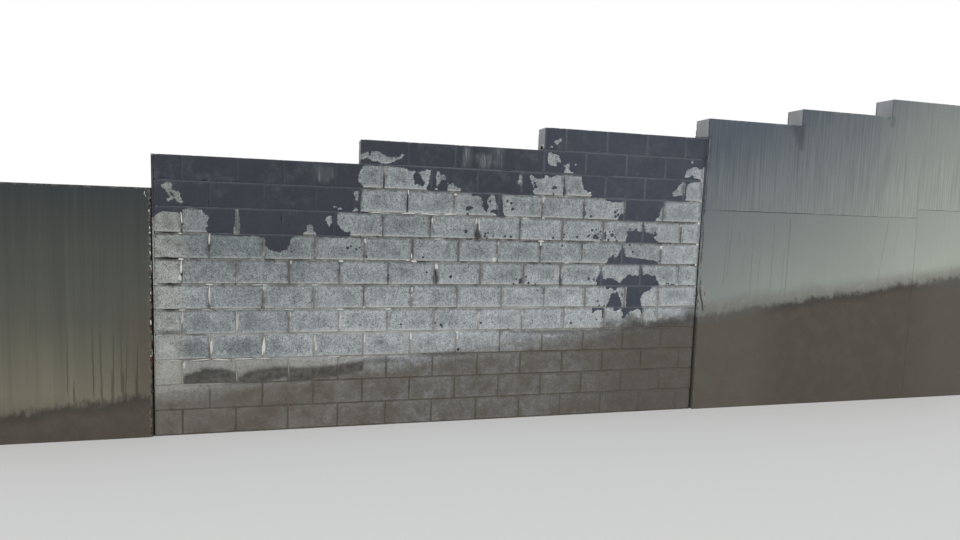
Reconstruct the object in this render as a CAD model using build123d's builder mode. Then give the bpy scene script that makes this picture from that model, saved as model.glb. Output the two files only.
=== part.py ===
from build123d import *
import os

os.makedirs("parts", exist_ok=True)

# Concrete blocks, laid with a full mortar joint on every side
block_length = 390
block_height = 190
block_thickness = 190
mortar_joint = 10
mortar_rake = 6
face_shell = 30
block_web = 30
grout_drop = 5
shortest_cut_block = 60

# Block bay: three steps, the lowest one eleven courses high, and the whole blocks laid in each of
# those courses before its cut block
block_step_lengths = (1550, 1600, 1590)
lowest_step_courses = 11
whole_block_counts = (11, 11, 11, 11, 10, 10, 7, 6, 1, 3, 1)
courses_that_end_on_whole_block = (1, 3, 5)

# Rendered bays: a masonry core with a coat of cement render all round
render_coat = 15
cap_coat = 10
upper_coat_lip = 3
left_bay_length = 1580
left_bay_height = 1942
right_step_lengths = (1040, 1080, 1300)
right_step_heights = (2785, 2945, 3120)
right_bay_lip_height = 1932
end_bay_lip_height = 2020
end_bay_length = 860

# Movement joints between the bays
left_joint_width = 20
right_joint_width = 30
panel_joint_width = 10
open_joint_depth = 25
panel_joint_depth = 4

# Stations along the wall, from its left end, with the origin under the middle
half_block = (block_length - mortar_joint) / 2
block_pitch = block_length + mortar_joint
course_rise = block_height + mortar_joint
block_bay_length = sum(block_step_lengths)
right_run = sum(right_step_lengths)
wall_length = left_bay_length + left_joint_width + block_bay_length + right_joint_width + right_run
left_bay_start = -wall_length / 2
left_bay_end = left_bay_start + left_bay_length
block_bay_start = left_bay_end + left_joint_width
block_bay_end = block_bay_start + block_bay_length
right_bay_start = block_bay_end + right_joint_width
wall_end = right_bay_start + right_run
end_bay_start = wall_end - end_bay_length
right_bay_end = end_bay_start - panel_joint_width
course_count = lowest_step_courses + len(block_step_lengths) - 1
block_bay_height = course_count * course_rise
front_face = block_thickness / 2


def finish(piece, name):
    """Name a finished piece and write it to its own file."""
    piece.part.label = name
    export_step(piece.part, f"parts/{name}.step")


def block_step_start(step):
    """Station where a step of the block bay begins."""
    return block_bay_start + sum(block_step_lengths[:step])


def bond(length, half_first, whole_first, half_last):
    """Block lengths of one course, left to right, closed by one cut block."""
    ends = (half_first + half_last) * (half_block + mortar_joint)
    inner = length + mortar_joint - ends
    whole_blocks = int((inner + 0.5) // block_pitch)
    cut_block = inner - whole_blocks * block_pitch - mortar_joint
    whole_before = int(min(whole_first, whole_blocks))
    lengths = [half_block] * half_first
    lengths += [block_length] * whole_before
    if cut_block > shortest_cut_block:
        lengths.append(cut_block)
    lengths += [block_length] * (whole_blocks - whole_before)
    lengths += [half_block] * half_last
    return lengths


def open_cells(left, length, limit):
    """Centres and length of a block's cells that lie clear of the step above."""
    cells = 2 if length > 2 * half_block - mortar_joint else 1
    cell_length = (length - (cells + 1) * block_web) / cells
    centres = [left + block_web + cell_length / 2 + n * (cell_length + block_web) for n in range(cells)]
    return [centre for centre in centres if centre + cell_length / 2 < limit], cell_length


# Block courses, from the footing up: blocks with raked bed and head joints, each course one masonry mass
for number in range(1, course_count + 1):
    step = max(0, number - lowest_step_courses)
    start = block_step_start(step)
    floor = (number - 1) * course_rise
    is_odd = number % 2 == 1
    ends_whole = number in courses_that_end_on_whole_block
    whole_first = whole_block_counts[number - 1] if number <= lowest_step_courses else 0
    lengths = bond(block_bay_end - start, is_odd, whole_first, is_odd and not ends_whole)
    is_step_top = number >= lowest_step_courses
    next_start = block_step_start(step + 1) if is_step_top else start

    with BuildPart() as course:
        with BuildSketch(Plane.XY.offset(floor)) as mortar:
            with Locations(((start + block_bay_end) / 2, 0)):
                Rectangle(block_bay_end - start - 2 * mortar_rake, block_thickness - 2 * mortar_rake)
        extrude(amount=course_rise)

        with BuildSketch(Plane.XY.offset(floor + mortar_joint)) as blocks:
            left = start
            for length in lengths:
                with Locations((left + length / 2, 0)):
                    Rectangle(length, block_thickness)
                left += length + mortar_joint
        extrude(amount=block_height)

        if is_step_top:
            with BuildSketch(Plane.XY.offset(floor + course_rise)) as grouted_cells:
                left = start
                for length in lengths:
                    centres, cell_length = open_cells(left, length, next_start)
                    if centres:
                        with Locations([(centre, 0) for centre in centres]):
                            Rectangle(cell_length, block_thickness - 2 * face_shell)
                    left += length + mortar_joint
            extrude(amount=-grout_drop, mode=Mode.SUBTRACT)
    finish(course, f"block_course_{number:02d}")


def right_steps(start, end):
    """The steps of the right run that lie between two stations, as (left, right, height)."""
    steps = []
    left = right_bay_start
    for length, height in zip(right_step_lengths, right_step_heights):
        if left < end and left + length > start:
            steps.append((max(left, start), min(left + length, end), height))
        left += length
    return steps


def upright(left, right, low, high):
    """An upright rectangle of the elevation, inside the sketch that calls it."""
    with Locations(((left + right) / 2, low)):
        Rectangle(right - left, high - low, align=(Align.CENTER, Align.MIN))


def core(name, left, right, height):
    """Masonry core of one step, inside its render."""
    with BuildPart() as masonry:
        with BuildSketch(Plane.XZ.offset(-front_face)):
            upright(left, right, 0, height)
        extrude(amount=block_thickness)
    finish(masonry, name)


def coat(name, steps, low, thickness, is_front, lip_height=None):
    """Render coat on one face, from a level up to the stepped top or to the lip."""
    face = front_face if is_front else -front_face - thickness
    with BuildPart() as render:
        with BuildSketch(Plane.XZ.offset(face)):
            for left, right, height in steps:
                upright(left, right, low, lip_height or height)
        extrude(amount=thickness)
    finish(render, name)


def cap(name, steps, coats_left_end, coats_right_end):
    """Render over the stepped top, down the risers and down the coated ends."""
    with BuildPart() as render:
        with BuildSketch(Plane.XZ.offset(-front_face)):
            for left, right, height in steps:
                upright(left, right, 0, height)
            for left, right, height in core_spans(steps, coats_left_end, coats_right_end):
                with Locations(((left + right) / 2, 0)):
                    Rectangle(right - left, height, align=(Align.CENTER, Align.MIN), mode=Mode.SUBTRACT)
        extrude(amount=block_thickness)
    finish(render, name)


def core_spans(steps, coats_left_end, coats_right_end):
    """Core of each step behind its cap and risers, as (left, right, height)."""
    spans = []
    for index, (left, right, height) in enumerate(steps):
        is_last = index == len(steps) - 1
        core_left = left + (cap_coat if index or coats_left_end else 0)
        core_right = right - (cap_coat if coats_right_end else 0) if is_last else right + cap_coat
        spans.append((core_left, core_right, height - cap_coat))
    return spans


# Left bay: one step, rendered on both faces, its top and both ends
left_steps = [(left_bay_start, left_bay_end, left_bay_height)]
for left, right, height in core_spans(left_steps, True, True):
    core("left_bay_core", left, right, height)
coat("left_bay_front_render", left_steps, 0, render_coat, True)
coat("left_bay_back_render", left_steps, 0, render_coat, False)
cap("left_bay_cap_render", left_steps, True, True)

# Right bay and end bay: stepped, with a thicker upper coat that ends in a lip over the lower one
rendered_bays = (
    ("right_bay", right_bay_start, right_bay_end, right_bay_lip_height, True, False),
    ("end_bay", end_bay_start, wall_end, end_bay_lip_height, False, True),
)
for bay, start, end, lip_height, coats_left_end, coats_right_end in rendered_bays:
    steps = right_steps(start, end)
    for index, (left, right, height) in enumerate(core_spans(steps, coats_left_end, coats_right_end)):
        core(f"{bay}_core_step_{index + 1}", left, right, height)
    for side, is_front in (("front", True), ("back", False)):
        coat(f"{bay}_{side}_render_lower", steps, 0, render_coat, is_front, lip_height)
        coat(f"{bay}_{side}_render_upper", steps, lip_height, render_coat + upper_coat_lip, is_front)
    cap(f"{bay}_cap_render", steps, coats_left_end, coats_right_end)


def joint_filler(name, left, right, depth_of_wall, set_back, top):
    """Compressible strip that fills a movement joint, set back from both faces and the top."""
    with BuildPart() as filler:
        with BuildSketch(Plane.XZ.offset(set_back - depth_of_wall / 2)):
            upright(left, right, 0, top - set_back)
        extrude(amount=depth_of_wall - 2 * set_back)
    finish(filler, name)


# Movement joints: open and dark beside the block bay, nearly flush between the rendered bays
rendered_thickness = block_thickness + 2 * render_coat
left_joint_top = min(left_bay_height, lowest_step_courses * course_rise)
right_joint_top = min(right_step_heights[0], block_bay_height)
joint_filler(
    "left_control_joint",
    left_bay_end,
    block_bay_start,
    block_thickness,
    open_joint_depth,
    left_joint_top,
)
joint_filler(
    "right_control_joint",
    block_bay_end,
    right_bay_start,
    block_thickness,
    open_joint_depth,
    right_joint_top,
)
joint_filler(
    "panel_joint",
    right_bay_end,
    end_bay_start,
    rendered_thickness,
    panel_joint_depth,
    right_step_heights[-1],
)
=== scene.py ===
# %% [markdown]
# # A stepped block retaining wall
# The wall climbs a slope in steps. In the middle stands a bay of bare concrete blocks, its upper courses
# brushed with black waterproofing paint. Older bays on both sides are coated with cement render.
# The packed model gives the shape and the place of every piece, so it is loaded first.

# %% Load the packed model
import math
from functools import cache, reduce
import bmesh
import bpy
import numpy as np
from mathutils import Matrix, Vector


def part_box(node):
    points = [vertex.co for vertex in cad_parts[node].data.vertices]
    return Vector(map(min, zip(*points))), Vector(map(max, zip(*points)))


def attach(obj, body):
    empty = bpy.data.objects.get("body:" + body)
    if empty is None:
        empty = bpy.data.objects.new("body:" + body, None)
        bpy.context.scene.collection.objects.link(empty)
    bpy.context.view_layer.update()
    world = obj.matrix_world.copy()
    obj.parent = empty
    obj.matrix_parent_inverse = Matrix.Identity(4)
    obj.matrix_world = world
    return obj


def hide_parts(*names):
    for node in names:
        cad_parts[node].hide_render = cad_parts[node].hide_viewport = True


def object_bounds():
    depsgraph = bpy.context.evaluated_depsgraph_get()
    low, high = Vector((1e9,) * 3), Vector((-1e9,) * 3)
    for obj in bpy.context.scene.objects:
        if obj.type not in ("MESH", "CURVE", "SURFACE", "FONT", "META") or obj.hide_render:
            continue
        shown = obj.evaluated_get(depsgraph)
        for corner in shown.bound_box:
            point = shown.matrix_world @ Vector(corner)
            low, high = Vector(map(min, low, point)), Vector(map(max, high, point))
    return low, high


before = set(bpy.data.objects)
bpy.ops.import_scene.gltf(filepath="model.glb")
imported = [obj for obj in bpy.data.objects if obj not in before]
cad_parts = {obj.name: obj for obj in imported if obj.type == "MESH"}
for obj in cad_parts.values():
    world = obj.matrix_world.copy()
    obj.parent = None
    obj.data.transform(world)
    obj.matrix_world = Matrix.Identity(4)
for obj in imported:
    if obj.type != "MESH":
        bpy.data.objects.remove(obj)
cad_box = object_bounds()
SCENE = bpy.context.scene
print("wall from", [round(v, 3) for v in cad_box[0]], "to", [round(v, 3) for v in cad_box[1]])

# %% [markdown]
# ## Stations
# Everything on the wall is placed from two marks on the bare bay: its left end, and the top of its lowest
# step. Both are read from the model, so the paint and the stains move with the wall. The marks of this one
# wall, such as a drip or a daub, are listed in whole millimetres along the wall and up from the two marks.

# %% Read the marks from the model
# Parts of the packed model this close to level count as level, in metres
SNAP = 0.0005
COURSES = sorted(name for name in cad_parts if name.startswith("block_course_"))
bay_low, bay_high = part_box(COURSES[0])
MARK_X = bay_low[0]
BAY_END = bay_high[0]
FRONT_Y = bay_low[1]
BACK_Y = bay_high[1]
full_courses = [name for name in COURSES if abs(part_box(name)[0][0] - MARK_X) < SNAP]
MARK_Z = max(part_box(name)[1][2] for name in full_courses)
FOOT_Z = cad_box[0][2]
COURSE_RISE = bay_high[2] - bay_low[2]


def in_metres(rows):
    """Rows of whole millimetres as rows of metres."""
    return [tuple(value / 1000 for value in row) for row in rows]


def from_marks(points):
    """How far along the wall and how far up from the marks each of some points lies."""
    return points[:, 0] - MARK_X, points[:, 2] - MARK_Z


print(len(COURSES), "courses, rise", round(COURSE_RISE, 3), "marks at", round(MARK_X, 3), round(MARK_Z, 3))

# %% [markdown]
# ## Camera
# The blocks are a ruler: 400 mm from joint to joint and 200 mm from course to course. Their corners in the
# picture fix where the camera stood, how it was turned and its focal length.

# %% Set up the camera
SENSOR_WIDTH = 36.0
PICTURE_WIDTH = 960
FOCAL_PIXELS = 658.54
CAMERA_FROM_MARKS = Vector((1.094, -5.515, -0.360))
TURN_RIGHT, TILT_UP, ROLL = math.radians(15.205), math.radians(-5.022), math.radians(1.911)

camera_data = bpy.data.cameras.new("camera")
camera_data.sensor_width = SENSOR_WIDTH
camera_data.lens = SENSOR_WIDTH * FOCAL_PIXELS / PICTURE_WIDTH
camera = bpy.data.objects.new("camera", camera_data)
turned = Matrix.Rotation(-TURN_RIGHT, 4, "Z")
tilted = Matrix.Rotation(math.radians(90) + TILT_UP, 4, "X")
camera.matrix_world = (
    Matrix.Translation(Vector((MARK_X, FRONT_Y, MARK_Z)) + CAMERA_FROM_MARKS)
    @ turned @ tilted @ Matrix.Rotation(ROLL, 4, "Z")
)
SCENE.collection.objects.link(camera)
SCENE.camera = camera
SCENE.view_settings.view_transform = "Standard"
print("lens", round(camera_data.lens, 2), "mm")

# %% [markdown]
# ## Node sheets
# Finishes and repeated shapes are both drawn as node trees. A small class wraps a socket so that the sums in
# a finish read as sums. A colour is a signal too: another colour is laid over it, or it is shaded darker or
# lighter. A second class wraps the tree, and one method of it adds any node.


# %% Wrap the sockets
class Signal:
    """One output socket. Arithmetic on it adds Math nodes to its sheet."""

    def __init__(self, sheet, socket):
        self.sheet = sheet
        self.socket = socket

    def math(self, operation, *values):
        return self.sheet.node("ShaderNodeMath", {"operation": operation}, dict(enumerate(values)))

    def __add__(self, other):
        return self.math("ADD", self, other)

    def __mul__(self, other):
        return self.math("MULTIPLY", self, other)

    def __sub__(self, other):
        return self.math("SUBTRACT", self, other)

    def __rsub__(self, other):
        return self.math("SUBTRACT", other, self)

    def __truediv__(self, other):
        return self.math("DIVIDE", self, other)

    __radd__ = __add__
    __rmul__ = __mul__

    def size(self):
        return self.math("ABSOLUTE", self)

    def at_least(self, other):
        return self.math("MAXIMUM", self, other)

    def at_most(self, other):
        return self.math("MINIMUM", self, other)

    def rises(self, start, end):
        """0 up to start, 1 from end on, and a smooth step between."""
        settings = {"interpolation_type": "SMOOTHSTEP"}
        inputs = {0: self, 1: min(start, end), 2: max(start, end), 3: 0.0, 4: 1.0}
        step = self.sheet.node("ShaderNodeMapRange", settings, inputs)
        return step if end > start else 1 - step

    def lay(self, tint, share):
        """This colour with another one laid over a share of it."""
        return self.sheet.mix(share, self, tint)

    def shade(self, amount):
        """This colour made darker or lighter by a number about 1."""
        return self.sheet.shade(self, amount)


print("a signal knows", *[name for name in vars(Signal) if not name.startswith("_")])


# %% Wrap the trees
class Sheet:
    """A node tree being drawn."""

    def __init__(self, tree):
        self.tree = tree
        tree.nodes.clear()

    def node(self, kind, settings=None, inputs=None, output=0):
        """Any node: its settings first, then the values and links of its inputs."""
        made = self.tree.nodes.new(kind)
        for name, value in (settings or {}).items():
            if name == "stops":
                set_stops(made.color_ramp, value)
            else:
                setattr(made, name, value)
        for key, value in (inputs or {}).items():
            if isinstance(value, Signal):
                self.tree.links.new(value.socket, made.inputs[key])
            else:
                made.inputs[key].default_value = value
        return Signal(self, made.outputs[output]) if len(made.outputs) else None

    def vector(self, operation, *values):
        """Vector maths. A length or a distance is a number, the rest are vectors."""
        output = "Value" if operation in ("LENGTH", "DISTANCE") else "Vector"
        return self.node("ShaderNodeVectorMath", {"operation": operation}, dict(enumerate(values)), output)

    def mix(self, share, first, second, blend="MIX"):
        """The second colour laid over a share of the first. Sockets 0, 6, 7 and 2 are those for colours."""
        settings = {"data_type": "RGBA", "blend_type": blend}
        return self.node("ShaderNodeMix", settings, {0: share, 6: first, 7: second}, output=2)

    def shade(self, tint, amount):
        """A colour made darker or lighter by a number about 1."""
        grey = self.node("ShaderNodeCombineColor", {}, {0: amount, 1: amount, 2: amount})
        return self.mix(1.0, tint, grey, "MULTIPLY")


def set_stops(ramp, stops):
    """Colour stops of a ramp, each as (place, colour)."""
    while len(ramp.elements) < len(stops):
        ramp.elements.new(1.0)
    for element, (place, tint) in zip(ramp.elements, stops):
        element.position = place
        element.color = tint


def colour(red, green, blue):
    return (red, green, blue, 1.0)


def highest(signals):
    return reduce(Signal.at_least, signals)


print("a sheet knows", *[name for name in vars(Sheet) if not name.startswith("_")])

# %% [markdown]
# ## Light and floor
# The day was overcast, so the light is a pale sky with one very soft lamp high in front of the wall. The
# floor is plain and pale. The backdrop shows as white only to the camera, in glosses and through glass, so it
# adds no light to the wall.

# %% Light the wall
WHITE = colour(1, 1, 1)
SKY_COLOUR = colour(0.97, 0.985, 1.0)
SKY_STRENGTH = 0.62
LAMP_STRENGTH = 1.25
LAMP_SOFTNESS = math.radians(50)
LAMP_TURN = (math.radians(48), 0.0, math.radians(-28))


def from_camera(sheet):
    """1 for the rays that show the backdrop: straight from the camera, or by a gloss or through glass."""
    return highest(sheet.node("ShaderNodeLightPath", output=f"Is {ray} Ray")
                   for ray in ("Camera", "Glossy", "Transmission"))


world = bpy.data.worlds.new("overcast_sky")
world.use_nodes = True
sky = Sheet(world.node_tree)
daylight = sky.node("ShaderNodeBackground", {}, {"Color": SKY_COLOUR, "Strength": SKY_STRENGTH})
backdrop = sky.node("ShaderNodeBackground", {}, {"Color": WHITE, "Strength": 1.0})
shown = sky.node("ShaderNodeMixShader", {}, {0: from_camera(sky), 1: daylight, 2: backdrop})
sky.node("ShaderNodeOutputWorld", {}, {"Surface": shown})
SCENE.world = world

lamp_data = bpy.data.lights.new("soft_lamp", "SUN")
lamp_data.energy = LAMP_STRENGTH
lamp_data.angle = LAMP_SOFTNESS
lamp = bpy.data.objects.new("soft_lamp", lamp_data)
lamp.rotation_euler = LAMP_TURN
SCENE.collection.objects.link(lamp)
print("sky of strength", SKY_STRENGTH, "and lamp of", LAMP_STRENGTH)

# %% Lay the floor
FLOOR_REACH = 60.0
FLOOR_COLOUR = colour(0.78, 0.78, 0.77)
FADE_START, FADE_END = 7.0, 26.0


def floor_finish():
    """Plain pale floor that turns into the white backdrop far from the wall."""
    material = bpy.data.materials.new("pale_floor")
    material.use_nodes = True
    sheet = Sheet(material.node_tree)
    place = sheet.node("ShaderNodeTexCoord", output="Object")
    matt = sheet.node("ShaderNodeBsdfDiffuse", {}, {"Color": FLOOR_COLOUR})
    white = sheet.node("ShaderNodeEmission", {}, {"Color": WHITE, "Strength": 1.0})
    fade = sheet.vector("LENGTH", place).rises(FADE_START, FADE_END) * from_camera(sheet)
    surface = sheet.node("ShaderNodeMixShader", {}, {0: fade, 1: matt, 2: white})
    sheet.node("ShaderNodeOutputMaterial", {}, {"Surface": surface})
    return material


corners = [(x * FLOOR_REACH, y * FLOOR_REACH, 0) for x, y in ((-1, -1), (1, -1), (1, 1), (-1, 1))]
floor_mesh = bpy.data.meshes.new("floor")
floor_mesh.from_pydata(corners, [], [(0, 1, 2, 3)])
floor_mesh.materials.append(floor_finish())
floor = bpy.data.objects.new("floor", floor_mesh)
SCENE.collection.objects.link(floor)
print("floor laid, white from", FADE_END, "m on")

# %% [markdown]
# ## Meshes from arrays
# A wall is thousands of small shapes that follow rules, so the meshes are worked out as arrays of points.
# Extra numbers, such as how near a point is to a block's arris, are stored on the mesh for the finishes to
# read.


# %% Read and write meshes
# Points less than this apart count as one, in metres
HAIR = 1e-5


def store(mesh, name, values, kind="FLOAT"):
    """Keep one number for every point of a mesh. A single number is kept for them all."""
    layer = mesh.attributes.get(name) or mesh.attributes.new(name, kind, "POINT")
    values = np.broadcast_to(values, len(mesh.vertices))
    layer.data.foreach_set("value", values.astype(np.int32 if kind == "INT" else np.float32))


def stored(mesh, name):
    values = np.empty(len(mesh.vertices), dtype=np.float32)
    mesh.attributes[name].data.foreach_get("value", values)
    return values


def points_of(mesh):
    flat = np.empty(len(mesh.vertices) * 3, dtype=np.float32)
    mesh.vertices.foreach_get("co", flat)
    return flat.reshape(-1, 3).astype(float)


def move_points(mesh, points):
    mesh.vertices.foreach_set("co", points.astype(np.float32).ravel())
    mesh.update()


def mesh_of(name, points, faces, smooth=True):
    mesh = bpy.data.meshes.new(name)
    mesh.from_pydata(points.tolist(), [], faces.tolist())
    if smooth:
        mesh.shade_smooth()
    return mesh


def show(name, mesh, finish, slot, *nodes):
    """Link a finished mesh as a piece of the wall, in the place of the nodes that it stands for."""
    mesh.materials.clear()
    mesh.materials.append(finish)
    piece = bpy.data.objects.new(name, mesh)
    SCENE.collection.objects.link(piece)
    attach(piece, "root")
    if nodes:
        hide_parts(*nodes)


print("points less than", HAIR, "m apart count as one")


# %% Make grids and waves
def box_grid(xs, ys, zs):
    """A closed box whose six faces are grids on the given stations."""
    shape = (len(xs), len(ys), len(zs))
    on_face = np.zeros(shape, dtype=bool)
    for side in (0, -1):
        on_face[side] = True
        on_face[:, side] = True
        on_face[:, :, side] = True
    number = np.zeros(shape, dtype=int)
    number[on_face] = np.arange(on_face.sum())
    points = np.stack(np.meshgrid(xs, ys, zs, indexing="ij"), -1)[on_face]
    sheets = ((number[0], True), (number[-1], False), (number[:, 0], False), (number[:, -1], True),
              (number[:, :, 0], True), (number[:, :, -1], False))
    faces = []
    for grid, is_flipped in sheets:
        ring = [grid[:-1, :-1], grid[1:, :-1], grid[1:, 1:], grid[:-1, 1:]]
        ring = ring[::-1] if is_flipped else ring
        faces.append(np.stack([corner.ravel() for corner in ring], 1))
    return points, np.concatenate(faces)


WAVE_COUNT = 7
# Shortest and longest wave, as shares of the length asked for
WAVE_SPREAD = (0.6, 1.7)


def waves(x, z, seed, length):
    """Smooth seeded unevenness, mostly between -1 and 1, whose waves are about so long."""
    random = np.random.default_rng(seed)
    total = np.zeros_like(x)
    for _ in range(WAVE_COUNT):
        turn, angle = random.uniform(0, math.tau), random.uniform(0, math.pi)
        wave = length * random.uniform(*WAVE_SPREAD)
        total += np.sin((x * math.cos(angle) + z * math.sin(angle)) * math.tau / wave + turn)
    return total / math.sqrt(WAVE_COUNT)


def layered(x, z, seed, layers, middle=0.0):
    """Waves of several lengths on one another. Each layer is its height and its length."""
    return sum((height * waves(x, z, seed + n, length) for n, (height, length) in enumerate(layers)), middle)


print("a box of one cell has", len(box_grid([0, 1], [0, 1], [0, 1])[0]), "points")

# %% [markdown]
# ## Where the blocks lie
# The packed courses already hold the bond: half blocks at the ends, whole blocks, and one cut block. The
# corners on the front of each course give the left and right edge of every block, so the bond is read, not
# repeated.

# %% Read the bond
GROUT_DROP = 0.005
THICKNESS = BACK_Y - FRONT_Y


def sorted_steps(values):
    return sorted({round(float(value), 4) for value in values})


def pairs(edges):
    return list(zip(edges[0::2], edges[1::2]))


bond = []
for name in COURSES:
    low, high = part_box(name)
    corners = points_of(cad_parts[name].data)
    on_front = np.abs(corners[:, 1] - FRONT_Y) < SNAP
    is_sunk = np.abs(corners[:, 2] - (high[2] - GROUT_DROP)) < SNAP
    bond.append({
        "name": name,
        "floor": low[2],
        "bed": sorted_steps(corners[on_front, 2])[0],
        "blocks": pairs(sorted_steps(corners[on_front, 0])),
        "cells": pairs(sorted_steps(corners[is_sunk, 0])),
    })
BED = bond[0]["bed"] - bond[0]["floor"]
BLOCK_HEIGHT = COURSE_RISE - BED
for part in ("blocks", "cells"):
    print([len(course[part]) for course in bond], part)

# %% [markdown]
# ## One block of each kind
# A block leaves its mould with arrises a few millimetres round. Every length of block in the bond gets one
# mesh whose grid is fine enough for chips, with four numbers on it: how near its rim, how far above its foot,
# how far in from its nearer end, and where the grout of a step's top lies in its cells.

# %% Round a box
ARRIS = 0.0050
BLOCK_CELL = 0.0145
RIM_REACH = 0.022
CELL_WALL = 0.003
FACE_SHELL = 0.030
# Grid lines stay this share of a cell away from an extra line
CLEAR = 0.4


def stations(length, cell, arris, extra=()):
    """Grid lines along one side: both arrises, equal cells between them and any extra lines."""
    count = max(1, round((length - 2 * arris) / cell))
    lines = [line for line in np.linspace(arris, length - arris, count + 1)
             if all(abs(line - other) > CLEAR * cell for other in extra)]
    return np.array(sorted({0.0, arris, length - arris, length, *lines, *extra}))


def moulded(points, size, arris):
    """Points of a grid box with its arrises rounded, and how near each lies to a rim."""
    inner = np.clip(points, arris, size - arris)
    out = points - inner
    reach = np.linalg.norm(out, axis=1)
    rounded = inner + out / reach[:, None] * np.minimum(reach, arris)[:, None]
    near = np.sort(np.minimum(points, size - points), axis=1)[:, 1]
    return rounded, np.clip(1 - near / RIM_REACH, 0, 1)


print("arrises of", ARRIS, "m on cells of", BLOCK_CELL, "m")


# %% Mould the blocks
def block_kind(name, length, cells):
    """Mesh of one kind of block, centred on its foot."""
    size = np.array([length, THICKNESS, BLOCK_HEIGHT])
    walls_x = [edge + side * CELL_WALL for left, right in cells for edge, side in
               ((left, 0), (left, 1), (right, -1), (right, 0))]
    far_shell = THICKNESS - FACE_SHELL
    walls_y = [FACE_SHELL, FACE_SHELL + CELL_WALL, far_shell - CELL_WALL, far_shell]
    xs = stations(length, BLOCK_CELL, ARRIS, walls_x)
    ys = stations(THICKNESS, BLOCK_CELL if cells else THICKNESS, ARRIS, walls_y if cells else ())
    zs = stations(BLOCK_HEIGHT, BLOCK_CELL, ARRIS)
    raw, faces = box_grid(xs, ys, zs)
    points, rim = moulded(raw, size, ARRIS)
    grout = np.zeros(len(raw))
    for left, right in cells:
        in_cell = (raw[:, 2] > BLOCK_HEIGHT - HAIR) & (raw[:, 0] > left + HAIR) & (raw[:, 0] < right - HAIR)
        in_cell &= (raw[:, 1] > FACE_SHELL + HAIR) & (raw[:, 1] < far_shell - HAIR)
        points[in_cell, 2] -= GROUT_DROP
        grout[in_cell] = 1
    mesh = mesh_of(name, points - size * (0.5, 0.5, 0.0), faces)
    store(mesh, "rim", rim)
    store(mesh, "rise", raw[:, 2])
    store(mesh, "inset", np.minimum(raw[:, 0], length - raw[:, 0]))
    store(mesh, "grout", grout)
    return mesh


def kinds_collection(name, meshes):
    """A collection outside the scene, whose shapes the laying tree picks by number."""
    collection = bpy.data.collections.new(name)
    for number, mesh in enumerate(meshes):
        collection.objects.link(bpy.data.objects.new(f"{name}_{number:02d}", mesh))
    return collection


block_kinds = {}
for course in bond:
    course["kinds"] = []
    for left, right in course["blocks"]:
        cells = tuple((round(start - left, 4), round(end - left, 4))
                      for start, end in course["cells"] if left < start < right)
        key = (round(right - left, 4), cells)
        course["kinds"].append(block_kinds.setdefault(key, len(block_kinds)))
block_meshes = [block_kind(f"block_kind_{number:02d}", *key) for key, number in block_kinds.items()]
BLOCK_KINDS = kinds_collection("block_kinds", block_meshes)
print(len(block_kinds), "kinds of block,", [len(mesh.vertices) for mesh in block_meshes], "points")

# %% [markdown]
# ## The laying tree
# One Geometry Nodes tree lays everything that repeats. It sets a shape on each point, picked by its number,
# tilts it a hair as a mason would, makes all of it real, and then roughens it: fine grain everywhere and
# chips along the rims. The same tree lays the blocks, the mortar, the daubs and the crumbs, with other sizes.

# %% Start the laying tree
INPUTS = {
    "Geometry": "NodeSocketGeometry",
    "Shapes": "NodeSocketCollection",
    "Finish": "NodeSocketMaterial",
    "Tilt": "NodeSocketFloat",
    "Grain depth": "NodeSocketFloat",
    "Grain waves": "NodeSocketFloat",
    "Chip depth": "NodeSocketFloat",
    "Chip waves": "NodeSocketFloat",
    "Seed": "NodeSocketInt",
}
laying = bpy.data.node_groups.new("laid_pieces", "GeometryNodeTree")
sheet = Sheet(laying)
INPUT_IDS = {label: laying.interface.new_socket(label, in_out="INPUT", socket_type=kind).identifier
             for label, kind in INPUTS.items()}
laying.interface.new_socket("Geometry", in_out="OUTPUT", socket_type="NodeSocketGeometry")
given_node = laying.nodes.new("NodeGroupInput")
given = {label: Signal(sheet, given_node.outputs[label]) for label in INPUTS}
print("the tree is given", ", ".join(INPUTS))


# %% Build the laying tree
# Chips start where the noise passes the first of these, and are whole at the second
CHIPPED = (0.54, 0.70)


def named(kind, name):
    return sheet.node("GeometryNodeInputNamedAttribute", {"data_type": kind}, {"Name": name})


def scaled(vector, amount):
    return sheet.node("ShaderNodeVectorMath", {"operation": "SCALE"}, {0: vector, "Scale": amount})


def bumps(waves_per_metre):
    inputs = {"Vector": sheet.node("GeometryNodeInputPosition"), "W": given["Seed"],
              "Scale": waves_per_metre, "Detail": 3.0, "Roughness": 0.6}
    return sheet.node("ShaderNodeTexNoise", {"noise_dimensions": "4D"}, inputs)


shapes = sheet.node("GeometryNodeCollectionInfo", {},
                    {"Collection": given["Shapes"], "Separate Children": True, "Reset Children": True})
turn = sheet.node("FunctionNodeRandomValue", {"data_type": "FLOAT_VECTOR"},
                  {0: (-1, -1, -1), 1: (1, 1, 1), "Seed": given["Seed"]})
laid = sheet.node("GeometryNodeInstanceOnPoints", {}, {
    "Points": given["Geometry"], "Instance": shapes, "Pick Instance": True,
    "Instance Index": named("INT", "kind"), "Rotation": scaled(turn, given["Tilt"]),
    "Scale": named("FLOAT_VECTOR", "size"),
})
real = sheet.node("GeometryNodeRealizeInstances", {}, {"Geometry": laid})
grain = (bumps(given["Grain waves"]) - 0.5) * given["Grain depth"]
chips = bumps(given["Chip waves"]).rises(*CHIPPED) * named("FLOAT", "rim") * given["Chip depth"]
worn = scaled(sheet.node("GeometryNodeInputNormal"), grain - chips)
rough = sheet.node("GeometryNodeSetPosition", {}, {"Geometry": real, "Offset": worn})
smooth = sheet.node("GeometryNodeSetShadeSmooth", {}, {"Geometry": rough, "Shade Smooth": True})
finished = sheet.node("GeometryNodeSetMaterial", {}, {"Geometry": smooth, "Material": given["Finish"]})
result = laying.nodes.new("NodeGroupOutput")
laying.links.new(finished.socket, result.inputs[0])
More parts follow.
